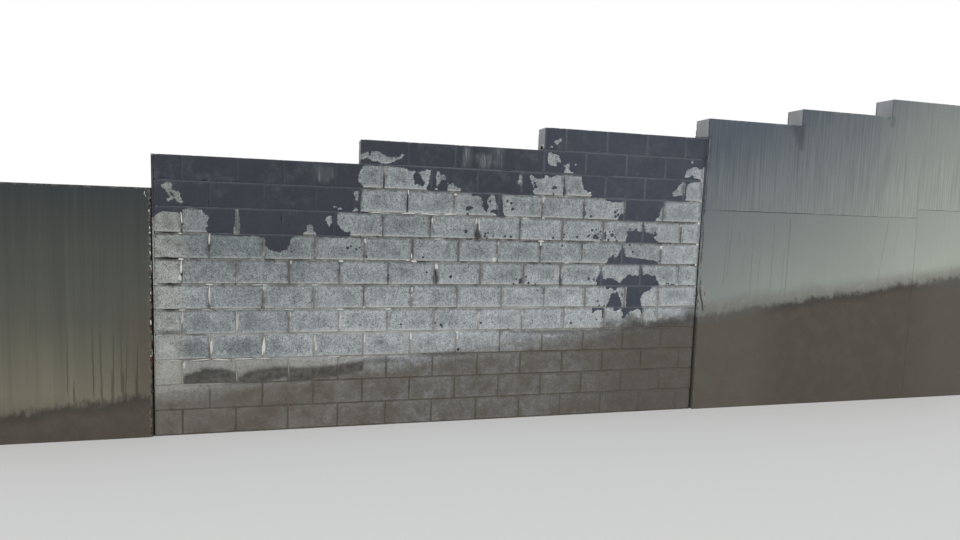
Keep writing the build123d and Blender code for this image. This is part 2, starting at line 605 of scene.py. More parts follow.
print("laying tree has", len(laying.nodes), "nodes")


# %% Lay shapes with the tree
def lay(name, points, numbers, sizes, inputs):
    """Lay shapes on points with the tree, and return the result as one plain mesh."""
    mesh = bpy.data.meshes.new(name)
    mesh.from_pydata([tuple(point) for point in points], [], [])
    for key, values in numbers.items():
        store(mesh, key, values, "INT" if key == "kind" else "FLOAT")
    layer = mesh.attributes.new("size", "FLOAT_VECTOR", "POINT")
    layer.data.foreach_set("vector", np.asarray(sizes, dtype=np.float32).ravel())
    holder = bpy.data.objects.new(name, mesh)
    SCENE.collection.objects.link(holder)
    modifier = holder.modifiers.new("laid", "NODES")
    modifier.node_group = laying
    for label, value in inputs.items():
        modifier[INPUT_IDS[label]] = value
    evaluated = holder.evaluated_get(bpy.context.evaluated_depsgraph_get())
    plain = bpy.data.meshes.new_from_object(evaluated)
    bpy.data.objects.remove(holder)
    points = points_of(plain)
    points[:, 2] = np.maximum(points[:, 2], FOOT_Z)
    move_points(plain, points)
    return plain


print("nothing is laid lower than", FOOT_Z, "m")

# %% [markdown]
# ## The map of the black paint
# Black waterproofing was once brushed over the upper courses and runs out raggedly. Its shapes are closed
# outlines in wall millimetres from the marks, one list for each row of blocks, with the bare patches left in
# it. An outline that runs past its row stops on the joint, as the real coat does. The fine ragged edge comes
# later, from noise in the finish.

# %% Map the paint
# Rows are counted from the marks: row 0 stands on them. Each outline is x, z, x, z and so on
COATS = {
    1: ((3100, 150, 4800, 150, 4800, 450, 3100, 450),),
    0: ((1500, -50, 4800, -50, 4800, 250, 1500, 250),),
    -1: (
        (-50, 50, 1600, 50, 1600, -10, 1575, -15, 1570, -35, 1545, -60, 1540, -75, 1535, -145, 1555, -155,
         1570, -170, 1580, -190, 1580, -250, -50, -250),
        (1560, 50, 1560, -12, 1620, -8, 1700, -6, 1850, -8, 1900, -12, 1930, -22, 1950, -36, 1985, -38,
         2010, -36, 2025, -44, 2070, -38, 2100, -18, 2130, -12, 2135, -35, 2130, -80, 2120, -120, 2110,
         -160, 2100, -175, 2115, -190, 2120, -250, 3090, -250, 3090, -195, 3070, -185, 3050, -160, 3060,
         -130, 3045, -110, 3030, -70, 3015, -20, 3050, -25, 3060, -45, 3100, -55, 3150, -45, 3165, -20,
         3180, -15, 3200, -30, 3225, -35, 3250, -20, 3280, -10, 3500, -8, 3505, -20, 3510, -60, 3525,
         -100, 3540, -130, 3560, -135, 3570, -150, 3600, -145, 3615, -165, 3600, -190, 3595, -250, 4575,
         -250, 4575, -100, 4580, -55, 4600, -28, 4650, -12, 4800, -5, 4800, 50),
        (1985, -60, 2000, -48, 2030, -50, 2050, -60, 2055, -90, 2075, -110, 2090, -125, 2080, -155, 2060,
         -160, 2040, -145, 2010, -145, 1995, -155, 2000, -120, 1985, -90),
        (3225, -125, 3240, -108, 3262, -108, 3275, -125, 3258, -142, 3235, -142),
        (3335, -170, 3340, -135, 3350, -115, 3362, -130, 3368, -170, 3350, -190),
    ),
    -2: (
        (-50, -150, 1570, -150, 1565, -210, 1560, -300, 1560, -450, -50, -450),
        (2500, -150, 2500, -225, 2520, -230, 2540, -215, 2560, -225, 2575, -230, 2585, -255, 2605, -285,
         2590, -300, 2590, -315, 2605, -325, 2615, -350, 2635, -360, 2640, -345, 2655, -305, 2640, -290,
         2635, -260, 2640, -245, 2665, -225, 2665, -150),
        (2700, -150, 2705, -235, 2715, -275, 2735, -300, 2745, -315, 2730, -335, 2735, -360, 2725, -385,
         2740, -450, 2800, -450, 2800, -385, 2785, -355, 2780, -310, 2775, -260, 2770, -225, 2775, -150),
        (2670, -345, 2690, -330, 2710, -340, 2735, -335, 2735, -385, 2720, -375, 2705, -360, 2675, -362),
        (2445, -335, 2450, -313, 2475, -312, 2490, -305, 2517, -325, 2505, -337, 2490, -340, 2480, -352,
         2450, -354),
        (2805, -335, 2812, -316, 2830, -318, 2840, -335, 2828, -350, 2812, -346),
        (2850, -322, 2870, -308, 2895, -322, 2885, -336, 2860, -338),
        (3955, -150, 3955, -235, 3945, -235, 3920, -225, 3880, -235, 3860, -230, 3830, -235, 3800, -220,
         3780, -225, 3760, -215, 3760, -150),
        (3955, -150, 3955, -320, 3940, -340, 3920, -328, 3900, -340, 3890, -360, 3882, -395, 3955, -400,
         3955, -450, 4270, -450, 4275, -385, 4285, -360, 4310, -345, 4315, -310, 4325, -290, 4330, -260,
         4355, -240, 4360, -150),
        (3530, -340, 3538, -315, 3550, -308, 3560, -330, 3562, -360, 3545, -378, 3532, -365),
    ),
    -3: (
        (-50, -350, 1375, -350, 1370, -420, 1372, -470, 1367, -500, 1390, -515, 1400, -530, 1420, -545,
         1435, -570, 1450, -560, 1470, -550, 1480, -570, 1475, -650, -50, -650),
        (3645, -550, 3655, -528, 3672, -520, 3682, -540, 3700, -548, 3712, -560, 3700, -580, 3670, -572,
         3650, -568),
        (3585, -558, 3592, -530, 3612, -518, 3622, -540, 3612, -562),
        (3757, -580, 3755, -520, 3765, -495, 3776, -510, 3778, -560, 3770, -592),
        (3812, -530, 3820, -512, 3845, -510, 3858, -528, 3850, -548, 3825, -550),
        (3975, -650, 3970, -585, 3985, -540, 3995, -520, 3985, -505, 3990, -485, 4010, -490, 4040, -492,
         4060, -485, 4065, -470, 4087, -455, 4087, -480, 4100, -490, 4145, -488, 4147, -430, 4155, -420,
         4165, -470, 4180, -500, 4200, -490, 4220, -510, 4245, -500, 4250, -520, 4270, -505, 4265, -485,
         4285, -488, 4297, -520, 4280, -537, 4268, -532, 4265, -550, 4285, -560, 4290, -575, 4312, -577,
         4312, -650),
    ),
    -4: (
        (400, -550, 400, -606, 500, -610, 600, -613, 700, -609, 770, -612, 785, -622, 806, -622, 806, -550),
        (1200, -550, 1200, -605, 1400, -607, 1600, -605, 1600, -550),
        (805, -550, 810, -680, 825, -700, 850, -717, 870, -727, 920, -731, 950, -722, 975, -715, 985,
         -690, 1000, -670, 1000, -640, 1010, -625, 1035, -612, 1030, -550),
        (3790, -850, 3790, -785, 3800, -765, 3810, -745, 3830, -740, 3845, -720, 3870, -700, 3865, -730,
         3885, -735, 3910, -720, 3920, -690, 3930, -660, 3940, -650, 3945, -630, 3960, -640, 3970, -680,
         3980, -710, 3990, -730, 4020, -735, 4100, -735, 4180, -745, 4270, -755, 4310, -770, 4327, -785,
         4327, -850),
    ),
    -5: (
        (3660, -938, 3675, -925, 3690, -943, 3705, -938, 3715, -900, 3730, -875, 3745, -862, 3757, -900,
         3770, -930, 3800, -940, 3810, -925, 3840, -930, 3870, -928, 3890, -945, 3910, -945, 3925, -970,
         3940, -965, 3960, -945, 3965, -925, 3990, -925, 4000, -900, 4020, -890, 4045, -888, 4060, -910,
         4085, -900, 4095, -888, 4102, -905, 4125, -900, 4130, -870, 4135, -820, 4150, -818, 4165, -860,
         4170, -895, 4200, -885, 4235, -885, 4260, -905, 4290, -898, 4305, -905, 4320, -940, 4337, -965,
         4347, -1000, 4347, -1050, 3700, -1050, 3705, -958, 3670, -955),
        (4408, -958, 4430, -960, 4460, -970, 4500, -975, 4517, -987, 4500, -992, 4420, -986),
        (2950, -985, 2955, -950, 2968, -930, 2985, -925, 2990, -955, 2985, -985),
        (3003, -895, 3012, -905, 3018, -925, 3012, -950),
        (3348, -925, 3358, -925, 3362, -975, 3378, -990, 3352, -992, 3345, -960),
    ),
    -6: (
        (3810, -1250, 3812, -1185, 3820, -1160, 3837, -1150, 3840, -1110, 3850, -1080, 3870, -1065, 3900,
         -1065, 3915, -1052, 3930, -1070, 3937, -1100, 3952, -1120, 3962, -1140, 3970, -1180, 3970, -1250),
        (3790, -950, 3800, -1025, 3820, -1030, 3850, -1014, 3880, -1035, 3900, -1040, 3912, -1018, 3960,
         -1010, 3960, -950),
        (3955, -1045, 3965, -1040, 3972, -1075, 3968, -1105, 3958, -1095),
        (4010, -950, 4010, -1250, 4178, -1250, 4176, -1180, 4165, -1150, 4155, -1130, 4165, -1100, 4180,
         -1075, 4200, -1060, 4220, -1050, 4255, -1040, 4267, -1020, 4270, -950),
    ),
    -7: (
        (3965, -1150, 3967, -1235, 3980, -1250, 3978, -1300, 4000, -1310, 4022, -1270, 4042, -1245, 4062,
         -1232, 4085, -1236, 4092, -1222, 4130, -1216, 4160, -1225, 4172, -1250, 4170, -1290, 4185, -1290,
         4188, -1150),
        (3885, -1150, 3888, -1228, 3910, -1238, 3935, -1225, 3955, -1215, 3960, -1150),
        (3672, -1215, 3675, -1255, 3685, -1262, 3690, -1235, 3710, -1222, 3770, -1220, 3778, -1300, 3792,
         -1300, 3792, -1150, 3680, -1150),
    ),
}
print(sum(map(len, COATS.values())), "painted outlines")

# %% Leave patches bare
BARE = {
    1: (
        (3215, 285, 3240, 286, 3260, 300, 3300, 312, 3305, 295, 3280, 275, 3262, 250, 3245, 270),
        (3170, 232, 3200, 240, 3222, 238, 3220, 228),
    ),
    0: (
        (1500, 75, 1555, 75, 1575, 88, 1600, 100, 1612, 106, 1617, 70, 1632, 70, 1637, 107, 1650, 111,
         1700, 106, 1720, 90, 1760, 76, 1800, 70, 1850, 66, 1880, 88, 1895, 106, 1906, 90, 1890, 70, 1870,
         55, 1830, 40, 1790, 20, 1760, 12, 1720, 15, 1700, 26, 1690, 42, 1680, 24, 1640, 30, 1620, 50,
         1590, 50, 1560, 36, 1500, 40),
        (3185, 186, 3200, 186, 3220, 170, 3260, 172, 3280, 165, 3292, 130, 3312, 120, 3305, 104, 3280,
         100, 3262, 110, 3260, 86, 3272, 70, 3250, 64, 3225, 70, 3210, 64, 3198, 80, 3184, 100, 3178, 130),
        (3325, 92, 3345, 85, 3362, 90, 3387, 96, 3385, 60, 3380, 40, 3400, 26, 3427, 18, 3420, 7, 3334, 7,
         3336, 30, 3346, 60, 3330, 75),
        (3432, 98, 3450, 98, 3450, 80, 3436, 82),
        (4612, 185, 4632, 185, 4632, 155, 4610, 158),
        (4543, 28, 4560, 70, 4570, 95, 4600, 110, 4640, 127, 4660, 130, 4700, 105, 4735, 110, 4760, 135,
         4850, 135, 4850, 5, 4720, 5, 4700, 20, 4650, 22, 4640, 42, 4612, 52, 4600, 32, 4570, 24),
    ),
    -1: (
        (2185, -20, 2200, -30, 2212, -20, 2217, -40, 2212, -55, 2235, -55, 2250, -48, 2267, -70, 2262,
         -100, 2240, -95, 2225, -105, 2212, -125, 2200, -152, 2183, -147, 2187, -100, 2181, -80, 2190, -60),
        (2278, -112, 2283, -150, 2283, -207, 2395, -207, 2402, -160, 2372, -160, 2362, -145, 2337, -140,
         2333, -120, 2300, -130),
        (2918, -18, 2942, -18, 2947, -70, 2957, -100, 2936, -127, 2920, -100, 2903, -110, 2903, -80, 2920,
         -60),
        (4430, -112, 4433, -147, 4460, -157, 4500, -141, 4530, -141, 4547, -157, 4557, -120, 4560, -28,
         4530, -18, 4500, -45, 4480, -80, 4460, -100),
    ),
    -2: (
        (52, -230, 75, -222, 90, -213, 127, -218, 133, -245, 122, -265, 145, -273, 160, -273, 182, -284,
         187, -310, 192, -335, 208, -362, 185, -364, 163, -345, 152, -320, 140, -325, 125, -347, 93, -358,
         93, -338, 115, -328, 108, -308, 90, -285, 78, -265, 58, -255),
        (1498, -230, 1515, -218, 1543, -218, 1548, -240, 1540, -262, 1537, -300, 1525, -313, 1513, -290,
         1525, -270, 1508, -260),
        (1335, -348, 1370, -352, 1400, -368, 1408, -380, 1385, -383, 1362, -370, 1340, -364),
        (1488, -375, 1510, -365, 1520, -352, 1532, -370, 1548, -382, 1520, -390, 1495, -392),
        (2785, -215, 2790, -200, 2960, -200, 2960, -215),
    ),
    -3: (
        (-50, -488, 0, -483, 10, -463, 40, -448, 60, -438, 167, -436, 182, -455, 193, -490, 195, -680,
         -50, -680),
        (203, -420, 220, -406, 270, -403, 347, -412, 352, -440, 370, -452, 397, -468, 387, -490, 372,
         -512, 382, -540, 367, -570, 387, -600, 387, -680, 201, -680),
        (583, -380, 612, -380, 614, -480, 622, -540, 618, -620, 580, -620, 572, -560, 584, -500),
        (1100, -620, 1102, -583, 1112, -568, 1136, -560, 1131, -525, 1141, -503, 1166, -508, 1182, -530,
         1187, -560, 1204, -577, 1207, -620),
        (1272, -455, 1290, -450, 1300, -428, 1327, -433, 1327, -460, 1332, -480, 1316, -500, 1306, -533,
         1299, -510, 1283, -490, 1294, -475, 1278, -470),
    ),
}
print(sum(map(len, BARE.values())), "bare outlines")

# %% Measure the reach
# Beyond this reach a point is simply inside the paint or outside it, in metres
FIRM = 0.05
# A point on a joint counts with the course above it, in courses
ROW_SLIP = 1e-4


def reach_in_outline(outline, x, z):
    """How far inside a closed outline each point lies, in metres: less than 0 outside."""
    corners = np.reshape(outline, (-1, 2)) / 1000
    inside = np.zeros(len(x), dtype=bool)
    away = np.full(len(x), np.inf)
    for (x1, z1), (x2, z2) in zip(corners, np.roll(corners, -1, axis=0)):
        side_x, side_z = x2 - x1, z2 - z1
        along = np.clip(((x - x1) * side_x + (z - z1) * side_z) / (side_x ** 2 + side_z ** 2), 0, 1)
        away = np.minimum(away, np.hypot(x - x1 - along * side_x, z - z1 - along * side_z))
        if side_z:
            inside ^= ((z1 > z) != (z2 > z)) & (x < x1 + (z - z1) * side_x / side_z)
    return np.where(inside, away, -away)


def reach_in_any(outlines, x, z):
    """How far inside the nearest of some outlines each point lies, in metres."""
    return np.max([reach_in_outline(outline, x, z) for outline in outlines], axis=0)


def reach_in_rounds(rounds, x, z):
    """How far inside the nearest of some round patches each point lies: 1 in the middle, 0 at the rim."""
    away = [np.hypot((x - middle_x) / half_width, (z - middle_z) / half_height)
            for middle_x, middle_z, half_width, half_height in in_metres(rounds)]
    return 1 - np.min(away, axis=0)


def paint_reach(points, row):
    """How far inside the paint each point of the wall lies: less than 0 on bare block."""
    x, z = from_marks(points)
    number = np.floor(row / COURSE_RISE + ROW_SLIP).astype(int)
    reach = np.full(len(points), -FIRM)
    for level, outlines in COATS.items():
        here = number == level
        reach[here] = reach_in_any(outlines, x[here], z[here])
        if level in BARE:
            reach[here] = np.minimum(reach[here], -reach_in_any(BARE[level], x[here], z[here]))
    return np.clip(reach, -FIRM, FIRM)


print("the reach is kept to", FIRM, "m each way")

# %% [markdown]
# ## Finishes on the wall
# Every finish on this wall is drawn in the same way, so one class starts it: a new material, the place on
# the piece in Object coordinates, and how far along and up the wall that is. Noise that is asked for twice is
# made once. The soil that splashed up from the old ground line lies on most finishes, so it is here too.
#
# In a finish, along and up are metres from the marks, and `rises` turns a stretch of them into a share from 0
# to 1. The other numbers are shares and shades, found by comparing the picture with the wall.

# %% Start a finish
SOIL = colour(0.105, 0.089, 0.070)
WET_SOIL = colour(0.047, 0.041, 0.036)
DRY_SOIL = colour(0.23, 0.215, 0.185)
# The old ground line: its height at the left mark, and its rise for each metre along
GROUND_START, GROUND_RISE = -1.885, 0.121
GLOSS = 0.25


class Finish(Sheet):
    """A new material, and the place on the wall that its patterns follow, in metres."""

    def __init__(self, name):
        self.material = bpy.data.materials.new(name)
        self.material.use_nodes = True
        super().__init__(self.material.node_tree)
        self.place = self.node("ShaderNodeTexCoord", output="Object")
        self.along = self.axis("X") - MARK_X
        self.up = self.axis("Z") - MARK_Z

    @cache
    def axis(self, name):
        return self.node("ShaderNodeSeparateXYZ", {}, {0: self.place}, name)

    @cache
    def attribute(self, name):
        """A number stored on the mesh."""
        return self.node("ShaderNodeAttribute", {"attribute_name": name}, output="Fac")

    @cache
    def noise(self, scale, detail=2, roughness=0.5, stretch=None):
        """Soft noise about 0.5, with so many waves to the metre."""
        place = self.vector("MULTIPLY", self.place, stretch) if stretch else self.place
        inputs = {"Vector": place, "Scale": scale, "Detail": detail, "Roughness": roughness}
        return self.node("ShaderNodeTexNoise", {}, inputs)

    def stretched(self, across, upward, detail=2, roughness=0.5):
        """Noise with so many waves to the metre across the wall and so many up it."""
        return self.noise(1.0, detail, roughness, (across, across, upward))

    def above_ground(self):
        """Height above the old ground line, made uneven by noise."""
        ragged = self.noise(3, 3, 0.6) * 0.10 + self.noise(14, 3, 0.6) * 0.05
        return self.up - (self.along * GROUND_RISE + GROUND_START) - ragged + 0.075

    def soiled(self, tint, dust, damp, spike=0.06):
        """Dust above the old ground line, a damp edge on it and the soil of the buried part below."""
        clear = self.above_ground()
        dusty = clear.rises(0.20, 0.03) * self.noise(22, 4, 0.7).rises(0.34, 0.66)
        spikes, fuzz = self.stretched(26, 7, 4, 0.7), self.noise(11, 4, 0.7)
        wet = (clear - (spikes - 0.5) * spike - (fuzz - 0.5) * 0.14).rises(0.075, -0.010)
        buried = clear.rises(0.015, -0.10) * (0.45 + self.noise(7, 4, 0.7).rises(0.30, 0.75) * 0.45)
        return tint.lay(DRY_SOIL, dusty * dust).lay(WET_SOIL, wet * damp).lay(SOIL, buried)

    def close(self, tint, roughness, height):
        """Shader and relief of the finish, whose height is in metres. It prints how many nodes there are."""
        relief = self.node("ShaderNodeBump", {}, {"Strength": 1.0, "Distance": 1.0, "Height": height})
        inputs = {"Base Color": tint, "Roughness": roughness, "Normal": relief, "Specular IOR Level": GLOSS}
        surface = self.node("ShaderNodeBsdfPrincipled", {}, inputs)
        self.node("ShaderNodeOutputMaterial", {}, {"Surface": surface})
        print(self.material.name, "has", len(self.tree.nodes), "nodes")
        return self.material


print("the old ground line climbs", GROUND_RISE, "m to the metre")


# %% Draw lines down the wall
# Share of its half width over which a line is whole, and how its two ends fade, in metres
LINE_CORE = 0.3
TOP_FADE, FOOT_FADE = (0.04, -0.08), (-0.03, 0.03)


def drawn_lines(along, up, lines):
    """1 on thin lines down the wall, each given by its two ends and its half width."""
    drawn = []
    for high_x, high_z, low_x, low_z, half_width in in_metres(lines):
        lean = (high_x - low_x) / (high_z - low_z)
        away = (along - up * lean - (high_x - high_z * lean)).size()
        line = away.rises(half_width, half_width * LINE_CORE)
        line = line * up.rises(*(high_z + fade for fade in TOP_FADE))
        drawn.append(line * up.rises(*(low_z + fade for fade in FOOT_FADE)))
    return highest(drawn)


print("lines down the wall ready")

# %% [markdown]
# ## The cover of the black paint
# The map above says how far inside the paint a point lies. Noise is added to it and the sum is cut off
# sharply, which makes an edge that is ragged but crisp. Round drips and spatters are too small for the map's
# grid, so each is a distance to a point. Only the two faces are painted, down to a little behind them.

# %% Cover with paint
# Drips and spatters of paint: centre and radius
DRIPS = (
    (130, -305, 12), (120, -290, 8), (200, -520, 10), (2200, -70, 9), (3065, -90, 12), (3075, -120, 15),
    (3055, -145, 10), (3245, -180, 9), (2665, -262, 10), (2820, -257, 10), (2855, -275, 12),
    (2800, -305, 7), (2465, -380, 11), (3605, -340, 8), (3615, -365, 13), (3855, -320, 13),
    (3860, -360, 13), (3880, -300, 8), (3885, -345, 12), (2455, -530, 16), (2630, -545, 11),
    (2655, -537, 8), (2625, -570, 11), (2645, -585, 9), (2810, -565, 12), (2865, -565, 12),
    (3260, -567, 11), (3365, -535, 9), (3360, -560, 8), (3490, -555, 10), (3635, -490, 13),
    (3675, -485, 10), (3725, -575, 9), (3800, -575, 13), (3885, -582, 12), (3870, -550, 8),
    (3808, -500, 8), (3840, -495, 7), (4015, -468, 10), (4020, -616, 12), (4055, -680, 10),
    (4338, -765, 12), (1457, -690, 14), (1483, -674, 8), (1528, -696, 8), (1556, -685, 8),
    (1612, -757, 10), (2087, -757, 9), (3352, -635, 11), (2122, -888, 7), (2333, -922, 13),
    (1797, -910, 9), (1795, -945, 7), (3625, -932, 14), (3131, -1040, 9), (3725, -1140, 9),
    (3740, -1180, 10), (3790, -1180, 8), (2258, -1342, 13), (2268, -1358, 9), (1912, -1332, 9),
    (2205, -1325, 11), (2615, -1330, 9), (2665, -1392, 11), (2870, -1390, 11), (2720, -1325, 7),
    (795, -1180, 13), (3470, -1340, 11), (3720, -1310, 8), (4045, -1265, 8), (4290, -1215, 7),
    (2420, -1560, 13), (2905, -985, 13), (3045, -975, 13), (3020, -918, 9), (2930, -940, 7),
    (3655, -505, 6), (3695, -523, 7), (3715, -500, 6), (3735, -535, 7), (3690, -592, 6), (2700, -565, 7),
    (3020, -545, 7), (3110, -985, 8),
)
PAINTED_DEPTH = 0.080


def drip_reach(look):
    """How far inside the nearest drip the place lies, in metres."""
    flat = look.vector("MULTIPLY", look.place, (1, 0, 1))
    return highest(radius - look.vector("DISTANCE", flat, (MARK_X + x, 0.0, MARK_Z + z))
                   for x, z, radius in in_metres(DRIPS))


def paint_cover(look, has_drips):
    """1 where the black paint covers, with a ragged crisp edge."""
    ragged = (look.noise(26) - 0.5) * 0.022 + (look.noise(75, 3, 0.7) - 0.5) * 0.030
    reach = look.attribute("paint") + ragged
    if has_drips:
        reach = reach.at_least(drip_reach(look) + ragged * 0.6)
    on_face = (look.axis("Y").size() + ragged * 0.15).rises(PAINTED_DEPTH - 0.001, PAINTED_DEPTH)
    return reach.rises(-0.001, 0.0015) * on_face


print(len(DRIPS), "drips of paint")

# %% [markdown]
# ## The finish of a block
# Concrete block is open grained and mottled, never one grey. The finish lays down a base that is darker and
# damper at the left of the wall, then each block's own tone, blotches and grains of sand.

# %% Draw the bare block
BLOCK_DAMP = colour(0.150, 0.171, 0.173)
BLOCK_DRY = colour(0.385, 0.408, 0.424)
BLOCK_WARM = colour(0.31, 0.315, 0.275)
BLOTCHES = (9, 3, 0.6)
CLOUDS = (4.2, 3, 0.6)
MOTTLE = (30, 5, 0.85)
SPECKLE = (130, 4, 0.85)
SAND = (320, 2, 0.6)
PATCHY = (21, 3, 0.65)
# From here down the blocks are drier again
LOW_COURSES = (-1.15, -1.5)


def brushed(look):
    """The fine upright strokes that the mould leaves on a block."""
    return look.stretched(90, 14, 2, 0.6)


def pits(look):
    return look.noise(120).rises(0.40, 0.32)


def bare_block(look):
    """A clean block: its damp or dry tone, a darker heart, and its grains, pits and flecks."""
    along, up = look.along, look.up
    blotches, clouds, mottle = look.noise(*BLOTCHES), look.noise(*CLOUDS), look.noise(*MOTTLE)
    speckle, sand, patchy = look.noise(*SPECKLE), look.noise(*SAND), look.noise(*PATCHY)
    rise, inset = look.attribute("rise"), look.attribute("inset")

    dryness = along.rises(0.8, 1.5) * 0.33 - 0.03 + along.rises(2.4, 3.7) * 0.14
    dryness = dryness + along.rises(4.52, 4.64) * 0.22
    dryness = dryness + along.rises(0.24, 0.16) * 0.20 + up.rises(-0.65, -1.3) * 0.36 + 0.18
    dryness = dryness - up.rises(-1.40, -1.50) * along.rises(1.2, 0.7) * 0.30
    dryness = dryness + (blotches - 0.5) * 0.85 + look.attribute("tone") * 0.07
    tint = look.mix(dryness.at_least(0.0).at_most(1.0), BLOCK_DAMP, BLOCK_DRY)
    tint = tint.lay(BLOCK_WARM, (along + (blotches - 0.5) * 0.25).rises(0.30, 0.10) * 0.6)
    to_edge = (inset * 0.7).at_most(rise).at_most(BLOCK_HEIGHT - rise)
    heart = (to_edge + (blotches - 0.5) * 0.15).rises(0.006, 0.070) * clouds.rises(0.40, 0.62)
    tint = tint.shade(1.12 - heart * 0.33)

    # Blocks are darker within a few centimetres of their ends
    darker_end = inset.rises(0.036, 0.012) * rise.rises(0.0, 0.02) * patchy.rises(0.66, 0.42)
    tint = tint.shade(1 - darker_end * (0.34 - up.rises(*LOW_COURSES) * 0.19))
    grains = (mottle - 0.5) * 1.55 + (speckle - 0.5) * 3.2 + (sand - 0.5) * 0.7
    grains = grains + (brushed(look) - 0.5) * 0.5
    grains = 1 + grains * (1.05 - along.rises(4.28, 4.40) * 0.35 - along.rises(0.24, 0.18) * 0.15)
    flecks = look.noise(150).rises(0.61, 0.69)
    return tint.shade(grains.at_least(0.35) * (1 - pits(look) * 0.5) * (1 + flecks * 0.35))


print("bare block runs from", BLOCK_DAMP[:3], "to", BLOCK_DRY[:3])

# %% [markdown]
# ## What the years left on the blocks
# Pale lime creeps up from the bed below and out along the rims, and the head of a block is darker under
# its joint. Mortar laps over the arris, was wiped over the faces at some joints, and lies in the cells of the
# steps' tops. Its colours come first, because the joints use them too. Soft stains, soaked blocks and the
# splashed soil come last; some of the stains and soaked patches are painted shade of hollow joints.

# %% Mix the mortar
LIME = colour(0.52, 0.53, 0.515)
GROUT = colour(0.30, 0.29, 0.265)
# The mortar up high is darker, partly as painted shade of its hollower joints
MORTAR_HIGH = colour(0.186, 0.184, 0.174)
MORTAR_LOW = colour(0.335, 0.330, 0.305)
MORTAR_PALE = colour(0.370, 0.365, 0.345)
# Near black, for the painted shade in hollow joints
MORTAR_HOLLOW_SHADE = colour(0.070, 0.069, 0.066)
MORTAR_BROWN = colour(0.140, 0.126, 0.108)


def mortar_tint(look):
    """Raked mortar: darker above, partly painted shade of the hollower joints there, paler below, with pale
    and brown stretches and painted shade in hollow ones.
    """
    tint = look.mix(look.up.rises(-0.75, -1.45), MORTAR_HIGH, MORTAR_LOW)
    tint = tint.lay(MORTAR_PALE, look.noise(7, 3, 0.7).rises(0.54, 0.64) * 0.75)
    tint = tint.lay(MORTAR_BROWN, look.noise(2.6).rises(0.46, 0.36) * 0.7)
    # Painted shade: stretches of hollow joint get near black laid over them, less of it low down
    hollow = look.noise(9, 3, 0.6).rises(0.44, 0.38) * (0.85 - look.up.rises(-0.9, -1.4) * 0.55)
    return tint.lay(MORTAR_HOLLOW_SHADE, hollow)


print("mortar runs from", MORTAR_HIGH[:3], "down to", MORTAR_LOW[:3])

# %% Weather the block
BEIGE = colour(0.325, 0.310, 0.280)
SOAKED_AND_SHADED_BLOCK = colour(0.040, 0.040, 0.038)
STEP_END = colour(0.310, 0.325, 0.350)
HEAD_LEVEL = BLOCK_HEIGHT - 0.006


def weathered_block(look, tint):
    """Lime, a darker head, mortar, stains, damp and soil on a block, with painted shade of some hollow
    joints.
    """
    along, up = look.along, look.up
    mottle, speckle, patchy = look.noise(*MOTTLE), look.noise(*SPECKLE), look.noise(*PATCHY)
    rim, rise = look.attribute("rim"), look.attribute("rise")

    foot = rise.rises(0.024, 0.008) * patchy.rises(0.30, 0.52) * (1 - along.rises(1.5, 1.1) * 0.35)
    limed = foot + rim.rises(0.2, 0.9) * look.noise(13, 3, 0.6).rises(0.50, 0.66) * 0.5
    tint = tint.lay(LIME, (limed * 0.60).at_most(1.0))
    # The head of each block is darker under its joint
    head = rise.rises(HEAD_LEVEL - 0.019, HEAD_LEVEL) * rim.rises(0.0, 0.12) * patchy.rises(0.72, 0.44)
    tint = tint.shade(1 - head * (0.46 - up.rises(*LOW_COURSES) * along.rises(2.9, 2.2) * 0.40))

    wiped = look.attribute("smear") * look.noise(48, 3, 0.7).rises(0.40, 0.58)
    tint = tint.lay(LIME, wiped * 0.65).lay(GROUT, look.attribute("grout"))
    lapped = 0.0030 + look.attribute("flush") * 0.0065
    ragged = (look.noise(45, 3, 0.7) - 0.5) * 0.016
    over = (lapped + ragged - (1 - rim) * RIM_REACH).rises(-0.0006, 0.0006)
    tint = tint.lay(mortar_tint(look).shade(0.75 + speckle * 0.5), over * 0.9)
    tint = tint.lay(look.shade(STEP_END, 0.55 + brushed(look) * 0.6 + speckle * 0.3),
                    look.attribute("bare_end"))

    # Soft dark stains, and painted shade of the hollow bed joints at the bay's left end
    tint = tint.shade(1 - look.attribute("stain") * 0.62)
    low_left = up.rises(-1.590, -1.625) * along.rises(1.9, 1.2) * patchy.rises(0.1, 0.5)
    tint = tint.lay(look.shade(BEIGE, 0.15 + speckle * 0.9 + mottle * 0.9), low_left * 0.6)
    # Soaked blocks, and painted shade in two hollow perpends
    soaked = look.attribute("soaked") + (look.noise(18, 4, 0.7) - 0.5) * 0.9
    tint = tint.lay(SOAKED_AND_SHADED_BLOCK, soaked.rises(0.10, 0.75) * (0.90 + (mottle - 0.5) * 0.4))
    return look.soiled(tint, 0.50, 0.30 + along.rises(3.0, 4.2) * 0.45)


print("mortar laps", RIM_REACH, "m over the arris at most")

# %% [markdown]
# ## The paint itself
# The paint is near black at the left and slate towards the right. It is scuffed through to a paler grey in
# places, thin over the joints, and worn to upright scratches on a few blocks. It fills the pits of the block,
# so its relief is softer and its gloss a little higher.

# %% Brush on the paint
PAINT_BLACK = colour(0.041, 0.047, 0.058)
PAINT_SLATE = colour(0.060, 0.070, 0.092)
PAINT_WORN = colour(0.115, 0.126, 0.142)
PAINT_SCRATCHED = colour(0.185, 0.197, 0.212)


